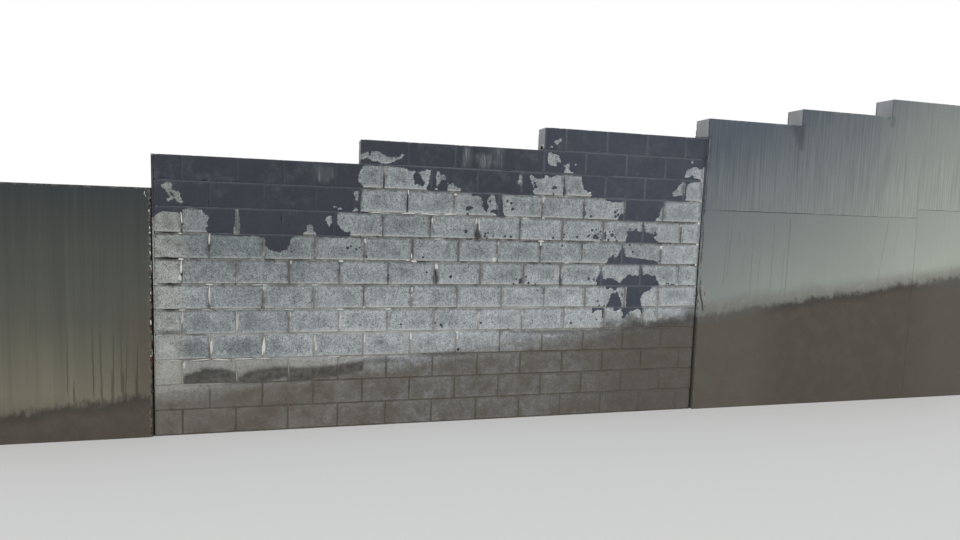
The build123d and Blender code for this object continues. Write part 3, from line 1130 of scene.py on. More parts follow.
def block_paint(look):
    along, rim = look.along, look.attribute("rim")
    streaks = look.stretched(22, 5, 3, 0.6).rises(0.40, 0.60)
    scratches = look.stretched(60, 7, 4, 0.7).rises(0.44, 0.66)
    scuffs = look.noise(5, 5, 0.75).rises(0.49, 0.82) * 0.65
    jointed = (rim + (look.noise(*PATCHY) - 0.5) * 0.5).rises(0.62, 0.92)
    jointed = jointed * (0.28 + along.rises(2.0, 3.2) * 0.42)
    paint = look.mix(along.rises(2.6, 3.6) * 0.8, PAINT_BLACK, PAINT_SLATE)
    paint = paint.lay(PAINT_WORN, (scuffs + jointed).at_most(1.0))
    paint = paint.lay(PAINT_SCRATCHED, look.attribute("worn") * (streaks * scratches * 0.85 + 0.22))
    grain = 1 + (look.noise(*MOTTLE) - 0.5) * 0.5 + (look.noise(*SPECKLE) - 0.5) * 0.6
    return paint.shade(grain + (look.noise(*CLOUDS) - 0.5) * 0.5)


def block_finish():
    look = Finish("bare_and_painted_block")
    cover = paint_cover(look, True)
    tint = weathered_block(look, bare_block(look)).lay(block_paint(look), cover)
    relief = look.noise(*SPECKLE) * 0.0012 + look.noise(*SAND) * 0.0007 - pits(look) * 0.0012
    return look.close(tint, 0.93 - cover * 0.18, relief * (1 - cover * 0.6) + cover * 0.0003)


BLOCK_FINISH = block_finish()

# %% [markdown]
# ## Lay the courses
# Each course becomes one piece, in the place of the packed course. After the tree has laid it, the marks of
# this one wall are worked out for every point: the paint, mortar wiped over the faces, soft stains, worn
# streaks, soaked blocks and perpends filled flush. Some stains and soaked patches are painted shade of hollow
# joints.

# %% List the marks on the faces
# Mortar wiped over the faces at the joints: centre, half width and half height
SMEARS = (
    (150, -940, 50, 60), (130, -760, 60, 30), (390, -1020, 50, 40), (600, -960, 30, 30),
    (810, -1020, 50, 30), (830, -1170, 50, 30), (1200, -1010, 60, 30), (1130, -1070, 40, 30),
    (1130, -1310, 30, 40), (800, -1240, 50, 30), (480, -1550, 50, 30), (700, -1630, 140, 30),
    (390, -1440, 50, 60), (100, -1500, 100, 80), (90, -1680, 100, 80), (600, -1340, 40, 60),
    (1400, -1220, 60, 30), (1200, -1460, 40, 60), (1800, -1080, 30, 50), (1800, -1215, 50, 20),
    (1500, -1385, 200, 30), (1850, -1385, 200, 20), (2000, -1440, 40, 50), (2340, -1090, 20, 20),
    (2330, -1400, 100, 20), (2430, -1400, 50, 30), (2590, -1330, 40, 50), (2150, -385, 260, 25),
    (1750, -385, 120, 20), (2350, -360, 40, 40), (2300, -350, 40, 20), (2830, -290, 50, 100),
    (2850, -380, 50, 30), (3000, -300, 30, 30), (2250, -620, 50, 30), (2010, -770, 40, 30),
    (2200, -830, 30, 40), (2720, -760, 40, 40), (3060, -750, 30, 20), (3420, -760, 60, 40),
    (3300, -920, 30, 80), (3580, -770, 50, 20), (3150, -220, 30, 50), (3000, -410, 50, 30),
    (3350, -190, 100, 20), (3050, -1190, 150, 20), (3700, -590, 50, 20), (4250, -1120, 80, 70),
    (3920, -1280, 60, 50), (4140, -1260, 40, 30), (3730, -1280, 40, 60), (4120, -870, 50, 20),
    (4330, -640, 30, 30), (3950, -930, 30, 30), (2560, -460, 30, 50), (4720, -200, 50, 30),
    (4720, -400, 40, 30),
)
# Soft dark damp, and painted shade of the hollow bed joints at the bay's left end, in the same way
STAINS_AND_JOINT_SHADE = (
    (110, -800, 100, 14), (120, -1002, 70, 10), (110, -1202, 70, 10), (100, -1378, 120, 24),
    (100, -606, 100, 8), (3050, -606, 100, 8), (4080, -1350, 130, 60), (3860, -1360, 80, 50),
    (4450, -1370, 220, 45), (4690, -1270, 70, 90), (1750, -1640, 200, 30), (2300, -1600, 300, 25),
    (3300, -1420, 400, 20), (4050, -1300, 80, 40),
)
# Outlines, as on the map: paint worn to pale streaks, blocks soaked from the ground or stained dark, and in
# the last two the painted shade of hollow perpends
WORN = (
    (2415, 195, 2400, 15, 2480, 10, 2500, 100, 2480, 195),
    (2500, 130, 2560, 10, 2640, 12, 2680, 60, 2670, 150),
    (2675, 195, 2690, 20, 2770, 50, 2790, 195),
    (1180, -25, 1190, -150, 1290, -170, 1360, -90, 1330, -30),
)
SOAKED_AND_PERPEND_SHADE = (
    (205, -1722, 300, -1690, 364, -1668, 490, -1674, 600, -1712, 604, -1793, 205, -1793),
    (612, -1745, 700, -1700, 852, -1680, 1008, -1672, 1008, -1752, 852, -1780, 612, -1793),
    (1008, -1680, 1207, -1680, 1409, -1668, 1605, -1640, 1605, -1720, 1409, -1760, 1008, -1800),
    (2562, -455, 2546, -520, 2532, -575, 2545, -612, 2580, -612, 2592, -575, 2577, -520),
    (2199, -862, 2178, -925, 2184, -965, 2203, -990, 2222, -965, 2228, -925),
)
# Middles of the perpends filled flush, and the half width and half height of each
FLUSH = (
    (2000, -700), (2400, -700), (2600, -900), (2800, -1100), (3345, -500), (1200, -700), (4345, -500),
    (790, -700), (3600, -700), (3000, -900), (1600, -1500), (800, -1500), (1210, -1500), (410, -1500),
)
FLUSH_HALVES = (30, 110)
print(len(SMEARS), "smears,", len(STAINS_AND_JOINT_SHADE), "stains,", len(FLUSH), "flush perpends")

# %% Mark the faces
# Every kind of mark: how its reach is measured, its shapes, how wide its rim fades, and its share at the rim
MARKS = {
    "smear": (reach_in_rounds, SMEARS, 1.0, 0.15),
    "stain": (reach_in_rounds, STAINS_AND_JOINT_SHADE, 1.0, 0.35),
    "worn": (reach_in_any, WORN, 0.04, 0.3),
    "soaked": (reach_in_any, SOAKED_AND_PERPEND_SHADE, 0.06, 0.5),
    "flush": (reach_in_rounds, [(*middle, *FLUSH_HALVES) for middle in FLUSH], 0.5, 0.0),
}


def dress(mesh, row):
    """Store on a mesh how far inside the paint and each kind of mark its points lie."""
    points = points_of(mesh)
    x, z = from_marks(points)
    store(mesh, "paint", paint_reach(points, row))
    for mark, (reach, shapes, fade, at_rim) in MARKS.items():
        store(mesh, mark, np.clip(reach(shapes, x, z) / fade + at_rim, 0, 1))


print("each point keeps its", ", ".join(MARKS))

# %% Lay the blocks
MASON_SEED = 11
LAY_DEPTH = 0.0012
END_DEPTH = 0.003
random = np.random.default_rng(MASON_SEED)
LAYING_OF_BLOCKS = {"Shapes": BLOCK_KINDS, "Finish": BLOCK_FINISH, "Tilt": 0.0022, "Grain depth": 0.0010,
                    "Grain waves": 42.0, "Chip depth": 0.0075, "Chip waves": 26.0}
block_triangles = 0
for number, course in enumerate(bond):
    middles = [((left + right) / 2, random.uniform(-LAY_DEPTH, LAY_DEPTH), course["bed"])
               for left, right in course["blocks"]]
    tones = random.normal(0, 1, len(middles))
    inputs = {**LAYING_OF_BLOCKS, "Seed": MASON_SEED + number}
    numbers = {"kind": course["kinds"], "tone": tones}
    mesh = lay(course["name"], middles, numbers, np.ones((len(middles), 3)), inputs)
    x = points_of(mesh)[:, 0]
    row = np.full(len(x), course["bed"] + BLOCK_HEIGHT / 2 - MARK_Z)
    dress(mesh, row)
    store(mesh, "bare_end", (x < course["blocks"][0][0] + END_DEPTH) & (row > 0))
    show(course["name"].replace("block_", "laid_"), mesh, BLOCK_FINISH, "concrete_block", course["name"])
    block_triangles += len(mesh.polygons) * 2
print(len(bond), "courses,", block_triangles, "triangles")

# %% [markdown]
# ## Mortar
# Under every course runs a bed of mortar, and a perpend stands between each two blocks. The real mortar was
# raked and smeared unevenly: nearly flush here, hollow there. Long grid boxes laid by the same tree give
# that, with deeper grain and slow hollows in place of chips, and the hollows are painted darker as their
# shade.

# %% Draw the mortar's finish
PAINT_IN_JOINTS = colour(0.108, 0.119, 0.142)


def mortar_finish():
    look = Finish("raked_mortar")
    along, upright = look.along, look.attribute("upright")
    gritty = look.noise(110, 3, 0.7)
    tint = mortar_tint(look).lay(LIME, look.attribute("smear") * 0.8)
    # Painted shade darkens the pressed hollows, and the perpends are a little darker
    tint = tint.shade((0.70 + gritty * 0.6) * (1 - look.attribute("hollow") * 0.7 - upright * 0.13))
    tint = look.soiled(tint, 0.4, 0.6)
    cover = paint_cover(look, False)
    worn_off = along.rises(1.2, 2.4) * 0.22 + look.noise(12, 3, 0.7) * 0.5
    worn_off = worn_off - upright * along.rises(3.6, 2.4) * 0.30
    tint = tint.lay(look.shade(PAINT_IN_JOINTS, 0.35 + worn_off + gritty * 0.5), cover)
    return look.close(tint, 0.95, gritty * 0.0016 + look.noise(330) * 0.0008)


MORTAR_FINISH = mortar_finish()

# %% Cut the mortar
MORTAR_DEPTH = 0.0050
MORTAR_CELL = 0.014
BED_LAP = 0.003
# How far a perpend stops short of the top of its blocks
HEAD_SHORT = 0.001
MORTAR_ROWS = 4
# A hollow is deepest at its centre, and ends this many half widths or half heights away
HOLLOW_END = 1.3
# Where the mortar is hollow: centre, half width, half height and depth
HOLLOWS = (
    (2560, -545, 12, 60, 20), (2210, -890, 12, 50, 16), (195, -900, 16, 50, 20), (1750, -150, 12, 50, 16),
    (3350, -150, 12, 60, 16), (1950, -300, 12, 80, 13), (110, -795, 90, 14, 22), (120, -995, 60, 12, 16),
    (100, -595, 70, 12, 12), (110, -1195, 60, 12, 12), (2900, -195, 100, 12, 6), (1600, -395, 100, 12, 6),
)


def mortar_strip(name, width, height):
    """A strip of mortar as deep as the wall, to be seen on its two narrow faces."""
    depth = THICKNESS - 2 * MORTAR_DEPTH
    counts = [max(MORTAR_ROWS, round(side / MORTAR_CELL)) for side in (width, height)]
    xs, zs = np.linspace(0, width, counts[0] + 1), np.linspace(0, height, counts[1] + 1)
    points, faces = box_grid(xs, np.array([0.0, depth]), zs)
    mesh = mesh_of(name, points - np.array([width, depth, 0.0]) / (2, 2, 1), faces)
    store(mesh, "rim", 1)
    return mesh


def hollow_out(mesh):
    """Press the hollows into the mortar's front, and store how deep in one each point lies, for the painted
    shade in them.
    """
    points = points_of(mesh)
    x, z = from_marks(points)
    is_front = points[:, 1] < 0
    pressed = np.zeros(len(points))
    for middle_x, middle_z, half_width, half_height, depth in in_metres(HOLLOWS):
        away = np.hypot((x - middle_x) / half_width, (z - middle_z) / half_height)
        inside = np.where(is_front, np.clip(HOLLOW_END - away, 0, 1), 0)
        points[:, 1] += depth * inside
        pressed = np.maximum(pressed, inside)
    move_points(mesh, points)
    store(mesh, "hollow", pressed)


print("mortar lies", MORTAR_DEPTH, "m back, with", len(HOLLOWS), "hollows")

# %% Lay the mortar
bed_lengths, bed_points, bed_kinds, bed_rows = [], [], [], []
head_points, head_rows = [], []
for course in bond:
    start, end = course["blocks"][0][0] + MORTAR_DEPTH, course["blocks"][-1][1] - MORTAR_DEPTH
    length = round(end - start, 4)
    if length not in bed_lengths:
        bed_lengths.append(length)
    lap = BED_LAP if course["floor"] > FOOT_Z + SNAP else 0.0
    row = course["bed"] + BLOCK_HEIGHT / 2 - MARK_Z
    bed_points.append(((start + end) / 2, 0.0, course["floor"] - lap))
    bed_kinds.append(bed_lengths.index(length))
    bed_rows.append(row)
    for (_, right), (left, _) in zip(course["blocks"][:-1], course["blocks"][1:]):
        head_points.append(((left + right) / 2, 0.0, course["bed"] - BED_LAP))
        head_rows.append(row)

lapped_bed = BED + 2 * BED_LAP
bed_shapes = [mortar_strip(f"bed_{number}", length, lapped_bed) for number, length in enumerate(bed_lengths)]
head_shapes = [mortar_strip("head", lapped_bed, BLOCK_HEIGHT + BED_LAP - HEAD_SHORT)]
LAYING_OF_MORTAR = {"Finish": MORTAR_FINISH, "Tilt": 0.0, "Grain depth": 0.0034, "Grain waves": 38.0,
                    "Chip depth": 0.0040, "Chip waves": 6.0, "Seed": 5}
mortar_jobs = (("bed", bed_shapes, bed_points, bed_kinds, bed_rows),
               ("head", head_shapes, head_points, 0, head_rows))
for name, shapes, points, kinds, rows in mortar_jobs:
    inputs = {**LAYING_OF_MORTAR, "Shapes": kinds_collection(f"{name}_shapes", shapes)}
    mesh = lay(f"{name}_mortar", points, {"kind": kinds, "row": rows}, np.ones((len(points), 3)), inputs)
    dress(mesh, stored(mesh, "row"))
    hollow_out(mesh)
    store(mesh, "upright", float(name == "head"))
    show(f"{name}_mortar", mesh, MORTAR_FINISH, "mortar")
    print(name, len(points), "strips,", len(mesh.polygons) * 2, "triangles")

# %% [markdown]
# ## Mortar that was wiped and dropped
# Pale daubs sit on many joints where the mason pushed mortar in late, and crumbs cling to the broken edges of
# the coats beside the bay. Each is one of three small lumps, pressed flat by its own width, height and depth.
# A last one makes the white ring of the hole at the end of the highest step, with the hole painted black as
# its shade.

# %% Place the daubs
# Daubs on the joints: centre, half width and half height
DAUBS = (
    (190, -800, 22, 10), (190, -860, 9, 60), (180, -950, 14, 30), (395, -998, 32, 6), (395, -1095, 6, 80),
    (760, -998, 50, 4), (810, -1000, 20, 8), (800, -1025, 7, 18), (1010, -815, 8, 16),
    (1200, -998, 32, 8), (1405, -800, 20, 10), (200, -1198, 22, 6), (200, -1255, 6, 55),
    (370, -1198, 35, 4), (605, -1290, 7, 85), (1000, -1198, 45, 5), (1010, -1240, 6, 32),
    (1405, -1200, 30, 7), (1410, -1250, 7, 32), (1210, -1398, 55, 5), (1205, -1450, 10, 45),
    (1215, -1510, 12, 40), (410, -1490, 9, 75), (810, -1490, 7, 75), (640, -1598, 100, 5),
    (800, -1597, 60, 4), (210, -1630, 13, 22), (150, -1598, 60, 4), (1360, -1598, 50, 4),
    (1600, -630, 9, 22), (1990, -750, 6, 24), (2010, -794, 26, 9), (1960, -785, 18, 5),
    (2208, -835, 16, 30), (2000, -1035, 8, 24), (2000, -1085, 7, 10), (1600, -1185, 14, 10),
    (1800, -1201, 28, 7), (2595, -1270, 13, 48), (2000, -1440, 11, 40), (2405, -1410, 12, 12),
    (2410, -1450, 7, 32), (1610, -1450, 6, 48), (2995, -1250, 8, 32), (3150, -600, 32, 8),
    (3145, -625, 9, 18), (2750, -630, 6, 22), (2210, -602, 30, 6), (1950, -215, 6, 22),
    (2160, -440, 6, 28), (2355, -218, 14, 10), (2345, -386, 26, 6), (2185, -178, 13, 7),
    (2545, -440, 6, 30), (2572, -470, 5, 60), (3155, -235, 7, 30), (3160, -393, 14, 10),
    (2985, -403, 25, 6), (3400, -790, 25, 10), (2720, -770, 20, 22), (3325, -900, 5, 70),
    (3550, -780, 18, 8), (4733, 0, 12, 12), (4740, -190, 12, 8), (4730, -398, 12, 16),
    (4730, -600, 14, 12), (4725, -795, 12, 10), (4730, -1000, 9, 8), (4540, -425, 9, 12),
    (4345, -635, 16, 18), (4535, -980, 12, 16), (1700, -393, 80, 5), (1960, -390, 70, 6),
    (2130, -392, 90, 5), (2300, -389, 50, 7), (189, -1200, 20, 6), (196, -1260, 7, 60),
    (600, -1290, 8, 80), (1404, -1300, 6, 80), (409, -1495, 10, 78), (801, -1500, 9, 80),
    (1211, -1490, 9, 78), (395, -1080, 8, 70), (210, -1645, 10, 30), (300, -1600, 120, 5),
    (480, -1599, 70, 6), (185, -600, 12, 5), (195, -480, 6, 50), (395, -640, 7, 50), (3600, -155, 14, 9),
    (10, -995, 14, 6), (30, -1395, 20, 5),
)
# Crumbs on the broken edges of the coats, in the same way
CRUMBS = (
    (-30, -433, 6, 12), (-27, -516, 5, 7), (-27, -560, 4, 16), (-26, -599, 6, 8), (-26, -686, 5, 7),
    (-26, -750, 4, 18), (-26, -855, 5, 8), (-38, -893, 6, 12), (-27, -942, 5, 6), (-24, -1063, 4, 14),
    (-25, -1110, 5, 18), (-26, -1210, 4, 12), (-25, -1290, 5, 22), (-25, -1340, 4, 10),
    (-26, -1480, 4, 10), (-27, -1560, 4, 14), (-60, -300, 4, 16), (-52, -320, 3, 10), (4772, -650, 4, 24),
    (4764, -724, 4, 26), (4762, -767, 4, 22), (4774, -830, 4, 34), (4832, -1066, 8, 30),
    (4842, -1119, 6, 24), (4760, -1119, 5, 26), (4768, -1184, 6, 20), (4752, -1162, 4, 26),
    (4806, -1020, 6, 34), (4784, -960, 5, 30), (4845, -1190, 8, 16), (4768, -900, 4, 34),
    (4757, -1040, 4, 40), (4762, -1240, 6, 16),
)
print(len(DAUBS), "daubs and", len(CRUMBS), "crumbs")

# %% Shape and colour the lumps
# Where the crumbs of the left and of the right coat begin
LEFT_CRUMBS, RIGHT_CRUMBS = (-0.012, -0.016), (4.742, 4.746)
LUMP_SEED = 23
LUMP_COUNT = 3
# Swelling of a lump: its height and length, and the smallest and largest size that it gives
LUMP_WAVES = ((0.22, 1.4),)
LUMP_SIZES = (0.6, 1.35)
CRUMB_RED = colour(0.130, 0.055, 0.042)
CRUMB_BROWN = colour(0.16, 0.125, 0.095)
DAUB_GREY = colour(0.47, 0.46, 0.43)
DAUB_WHITE = colour(0.68, 0.67, 0.63)
# Black painted as the shade inside the hole
HOLE_SHADE = colour(0.012, 0.012, 0.012)
# The hole left in the mortar at the end of the highest step, painted black as its shade, and its white ring
HOLE_MIDDLE = (MARK_X + 3.150, -0.012, MARK_Z + 0.229)
HOLE_RING = (0.0035, 0.062, 0.027)
HOLE_STRETCH = (10.0, 25.0, 55.0)


def lump(name, seed):
    """A small rough ball, one unit across each way from its middle."""
    form = bmesh.new()
    bmesh.ops.create_icosphere(form, subdivisions=2, radius=1.0)
    mesh = bpy.data.meshes.new(name)
    form.to_mesh(mesh)
    form.free()
    points = points_of(mesh)
    swell = layered(points[:, 0] + points[:, 1], points[:, 2] - points[:, 1], seed, LUMP_WAVES, 1.0)
    move_points(mesh, points * np.clip(swell, *LUMP_SIZES)[:, None])
    mesh.shade_smooth()
    store(mesh, "rim", 0)
    return mesh


def daub_finish():
    look = Finish("pale_daubs")
    gritty = look.noise(140, 3, 0.7)
    at_right = look.along.rises(*RIGHT_CRUMBS)
    tint = look.mix(look.noise(5).rises(0.35, 0.65), DAUB_GREY, DAUB_WHITE)
    tint = tint.shade((0.74 + gritty * 0.5) * (1 - at_right * 0.45))
    rusty = look.noise(19, 1).rises(0.50, 0.53)
    tint = tint.lay(CRUMB_RED, rusty * look.along.rises(*LEFT_CRUMBS)).lay(CRUMB_BROWN, rusty * at_right)
    to_hole = look.vector("MULTIPLY", look.vector("SUBTRACT", look.place, HOLE_MIDDLE), HOLE_STRETCH)
    tint = tint.lay(HOLE_SHADE, look.vector("LENGTH", to_hole).rises(1.1, 0.8))
    return look.close(tint, 0.95, gritty * 0.0012)


LUMPS = kinds_collection("lumps", [lump(f"lump_{n}", LUMP_SEED + n) for n in range(LUMP_COUNT)])
DAUB_FINISH = daub_finish()
print(LUMP_COUNT, "kinds of lump")

# %% Daub the joints
DAUB_DEPTH = 0.0032
DAUB_SUNK = 0.0012
CRUMB_OUT = 0.0128
LAYING_OF_LUMPS = {"Shapes": LUMPS, "Finish": DAUB_FINISH, "Tilt": 0.10, "Grain depth": 0.0,
                   "Grain waves": 60.0, "Chip depth": 0.0, "Chip waves": 60.0, "Seed": LUMP_SEED}
places, sizes = [], []
for lumps, y in ((DAUBS, FRONT_Y + DAUB_SUNK), (CRUMBS, FRONT_Y - CRUMB_OUT)):
    for x, z, half_width, half_height in in_metres(lumps):
        places.append((MARK_X + x, y, MARK_Z + z))
        sizes.append((half_width, DAUB_DEPTH, half_height))
places.append(HOLE_MIDDLE)
sizes.append(HOLE_RING)
kinds = [n % LUMP_COUNT for n in range(len(places))]
mesh = lay("daubs", places, {"kind": kinds}, sizes, LAYING_OF_LUMPS)
show("mortar_daubs", mesh, DAUB_FINISH, "mortar")
print(len(places), "daubs,", len(mesh.polygons), "triangles")

# %% [markdown]
# ## Render coats
# The old bays wear a coat of cement render about 15 mm thick. A coat is one slab on a grid of upright cells,
# kept only where the stepped outline has it. Its face waves a little as a trowel leaves it, its outer arrises
# are worn round, and beside the joints its edge is broken off raggedly.

# %% Cut a slab
COAT_CELL_X, COAT_CELL_Z = 0.045, 0.0155


def lines_between(marks, cell, close=()):
    """Grid lines that keep every mark and close line, with equal cells between."""
    kept = sorted({round(float(value), 5) for value in (*marks, *close)})
    lines = [kept[0]]
    for start, end in zip(kept[:-1], kept[1:]):
        count = max(1, round((end - start) / cell))
        lines += list(np.linspace(start, end, count + 1)[1:])
    return np.array(lines)


def slab(xs, zs, filled, outer_y, inner_y):
    """Points and faces of a closed slab on the filled cells, and which points lie on its outer rim."""
    number = np.arange(len(xs) * len(zs)).reshape(len(xs), len(zs))
    x, z = (axis.ravel() for axis in np.meshgrid(xs, zs, indexing="ij"))
    layers = [np.stack([x, np.full(len(x), y), z], 1) for y in (outer_y, inner_y)]
    points, deep = np.concatenate(layers), len(x)
    i, k = np.nonzero(filled)
    a, b, c, d = number[i, k], number[i + 1, k], number[i + 1, k + 1], number[i, k + 1]
    faces = [np.stack([a, b, c, d], 1), np.stack([a, d, c, b], 1) + deep]
    padded = np.pad(filled, 1)
    rim = np.zeros(len(points), dtype=bool)
    for start, end, side in ((a, b, (0, -1)), (b, c, (1, 0)), (c, d, (0, 1)), (d, a, (-1, 0))):
        is_open = ~padded[i + 1 + side[0], k + 1 + side[1]]
        start, end = start[is_open], end[is_open]
        faces.append(np.stack([end, start, start + deep, end + deep], 1))
        rim[start], rim[end] = True, True
    faces = np.concatenate(faces)
    if outer_y > inner_y:
        faces = faces[:, ::-1]
    used, faces = np.unique(faces, return_inverse=True)
    return points[used], faces.reshape(-1, 4), rim[used]


print("slabs are cut in cells of", COAT_CELL_X, "by", COAT_CELL_Z, "m")

# %% Set out a coat
COAT_ARRIS = 0.004
# How far in from a broken end the grid has lines
EDGE_ZONE = (0.0, 0.012, 0.026, 0.050)


def step_outline(name):
    """The spans of a packed coat as (left, right, top), read from its corners."""
    tops = {}
    for x, _, z in points_of(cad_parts[name].data):
        tops.setdefault(round(float(x), 4), []).append(round(float(z), 4))
    edges = sorted(tops)
    return [(left, right, min(max(tops[left]), max(tops[right]))) for left, right in zip(edges, edges[1:])]


def top_over(spans, x):
    """Height of the stepped top over each station."""
    top_at = np.zeros(len(x))
    for left, right, top in spans:
        is_over = (x >= left - HAIR) & (x <= right + HAIR)
        top_at[is_over] = np.maximum(top_at[is_over], top)
    return top_at


def coat_grid(spans, start, end, low, broken_left, broken_right):
    """Grid lines of a coat, close together at its arrises and its broken ends, and its filled cells."""
    lefts, tops = [left for left, _, _ in spans], [top for _, _, top in spans]
    close_x = [start + COAT_ARRIS, end - COAT_ARRIS] + [left + COAT_ARRIS for left in lefts]
    close_x += [start + reach for reach in EDGE_ZONE if broken_left]
    close_x += [end - reach for reach in EDGE_ZONE if broken_right]
    xs = lines_between([start, end, *lefts], COAT_CELL_X, close_x)
    zs = lines_between([low, *tops], COAT_CELL_Z, [top - COAT_ARRIS for top in tops])
    middle_x, middle_z = (xs[1:] + xs[:-1]) / 2, (zs[1:] + zs[:-1]) / 2
    return xs, zs, middle_z[None, :] < top_over(spans, middle_x)[:, None]


print("outline of the end bay's upper coat:", step_outline("end_bay_front_render_upper"))

# %% Trowel a coat and break its ends
ARRIS_WORN = 0.7
# Waves are heights and lengths. The trowel's go in from a middle, and no deeper than the most
TROWEL_DEPTH, TROWEL_MOST, TROWEL_SEED = 0.0007, 0.003, 31
TROWEL_MIDDLE, TROWEL_WAVES = 1.2, ((1.0, 0.55), (0.4, 0.16))
LIP_HEIGHT, LIP_SEED = 0.0022, 33
LIP_WAVES = ((1.0, 0.6), (1.0, 0.15))
RIM_WIDTH = 0.02
# A broken end is bitten so deep, more or less, and less far on its inner side
BITE_DEPTH, BITE_MOST, BITE_INSIDE = 0.011, 1.4, 0.55
BITE_MIDDLE, BITE_WAVES = 0.45, ((0.45, 0.16), (0.35, 0.045))
# How much of a bite shows on each line of the zone
EDGE_WEIGHT = (1.0, 0.8, 0.45, 0.0)
PANEL_JOINT = [corner[0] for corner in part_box("panel_joint")]


def coat_mesh(name, seed, broken_left, broken_right, wavy_low, wavy_top):
    """A packed coat made again on a fine grid: trowelled, worn round, and broken at its open ends."""
    (start, near_y, low), (end, far_y, _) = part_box(name)
    is_front = near_y < FRONT_Y - SNAP
    outer_y, inner_y = (near_y, far_y) if is_front else (far_y, near_y)
    spans = step_outline(name)
    xs, zs, filled = coat_grid(spans, start, end, low, broken_left, broken_right)
    points, faces, rim = slab(xs, zs, filled, outer_y, inner_y)
    x, z = points[:, 0].copy(), points[:, 2].copy()
    is_outer = np.abs(points[:, 1] - outer_y) < HAIR
    inward = np.sign(inner_y - outer_y)

    trowelled = layered(x, z, TROWEL_SEED, TROWEL_WAVES, TROWEL_MIDDLE)
    points[:, 1] += np.where(is_outer, inward * np.clip(TROWEL_DEPTH * trowelled, 0, TROWEL_MOST), 0)
    is_lapped = (wavy_low & (np.abs(z - low) < HAIR)) | (wavy_top & (np.abs(z - zs[-1]) < HAIR))
    is_shut = np.min([np.abs(x - edge) for edge in PANEL_JOINT], axis=0) < HAIR
    worn = rim & ~is_lapped & ~is_shut & (z > low + HAIR)
    points[:, 1] += np.where(worn & is_outer, inward * COAT_ARRIS * ARRIS_WORN, 0)
    points[:, 2] += np.where(is_lapped, LIP_HEIGHT * layered(x, 0 * x, LIP_SEED, LIP_WAVES), 0)

    bites = np.clip(layered(0 * z, z, seed, BITE_WAVES, BITE_MIDDLE), 0, BITE_MOST)
    bites = BITE_DEPTH * bites * np.where(is_outer, 1.0, BITE_INSIDE)
    for is_broken, edge, side in ((broken_left, start, 1), (broken_right, end, -1)):
        if is_broken:
            points[:, 0] += side * bites * np.interp(np.abs(x - edge), EDGE_ZONE, EDGE_WEIGHT)

    mesh = mesh_of(name, points, faces, smooth=False)
    to_end = np.minimum(x - start, end - x)
    if wavy_low or wavy_top:
        to_end = x - start if broken_left else 1.0
    to_top = top_over(spans, x) - z
    store(mesh, "rim", np.clip(1 - np.minimum(to_end, to_top + wavy_top) / RIM_WIDTH, 0, 1))
    # Lip: along the top of a lower coat, under the upper coat's lip, where the finish paints a shadow
    store(mesh, "lip", np.clip(1 - to_top / COAT_CELL_Z, 0, 1) * wavy_top)
    return mesh


print("the panel joint runs from", *[round(edge, 3) for edge in PANEL_JOINT])

# %% [markdown]
# ## Finishes of the coats
# The left bay is nearly black at its top and turns olive, then brown, towards the soil, with long faint
# streaks. The right run goes from slate blue near the bay of blocks to a pale green grey, and rain has drawn
# dark runs down its upper coat as far as the lip. Both gradients follow the wall, so a ramp or a sum of two
# distances sets them, and stretched noise draws the runs. The strongest lines are placed one by one.

# %% Draw the dark coat's finish
GRIT = (240, 3, 0.7)
# Share of the height above the wall's foot, and the colour there
DARK_COAT_STOPS = (
    (0.00, colour(0.095, 0.083, 0.064)),
    (0.10, colour(0.150, 0.138, 0.105)),
    (0.16, colour(0.175, 0.165, 0.123)),
    (0.27, colour(0.144, 0.138, 0.105)),
    (0.42, colour(0.098, 0.099, 0.080)),
    (0.64, colour(0.073, 0.079, 0.067)),
    (0.87, colour(0.044, 0.050, 0.051)),
)
RED_BROWN = colour(0.098, 0.076, 0.062)
# Dark runs down the coat: upper end, lower end and half width
DARK_LINES = (
    (-598, -1300, -604, -1830, 6), (-430, -1280, -426, -1860, 7), (-379, -1200, -372, -1870, 7),
    (-284, -1360, -294, -1870, 8), (-236, -1100, -233, -1840, 8), (-191, -1340, -206, -1870, 6),
    (-121, -1440, -129, -1870, 7), (-295, -1660, -296, -1900, 16), (-225, -1660, -222, -1900, 14),
    (-127, -1680, -129, -1900, 14), (-372, -1740, -370, -1900, 12), (-560, -1740, -560, -1900, 10),
)


def dark_coat_finish():
    look = Finish("dark_weathered_render")
    along, up = look.along, look.up
    level = up / (MARK_Z - FOOT_Z) + 1 + (look.noise(1.6, 4, 0.6) - 0.5) * 0.12
    tint = look.node("ShaderNodeValToRGB", {"stops": DARK_COAT_STOPS}, {"Fac": level})
    streaks = look.stretched(26, 0.45, 3, 0.6)
    threads = look.stretched(85, 0.8, 2, 0.6)
    grit = look.noise(*GRIT)
    tint = tint.shade(0.56 + streaks * 0.42 + threads * 0.20 + grit * 0.26)
    rusty = along.rises(-0.34, -0.06) * up.rises(-0.95, -1.60)
    tint = tint.lay(look.shade(RED_BROWN, 0.7 + grit * 0.3 + streaks * 0.3), rusty * 0.6)
    wobble = (look.stretched(1, 16, 3, 0.6) - 0.5) * 0.018
    lines = drawn_lines(along + wobble, up, DARK_LINES) * up.rises(-1.15, -1.75)
    tint = tint.shade(1 - lines * (0.28 + threads * 0.25))
    tint = look.soiled(tint, 0.12, 0.85, 0.16)
    tint = tint.lay(DRY_SOIL, look.attribute("rim") * look.noise(40).rises(0.5, 0.6) * 0.6)
    return look.close(tint, 0.88, grit * 0.0010 + look.noise(60) * 0.0008)


DARK_COAT = dark_coat_finish()

# %% Draw the light coat's finish
SLATE = colour(0.092, 0.109, 0.131)
PALE_GREEN = colour(0.375, 0.400, 0.350)
COAT_BROWN = colour(0.150, 0.138, 0.118)
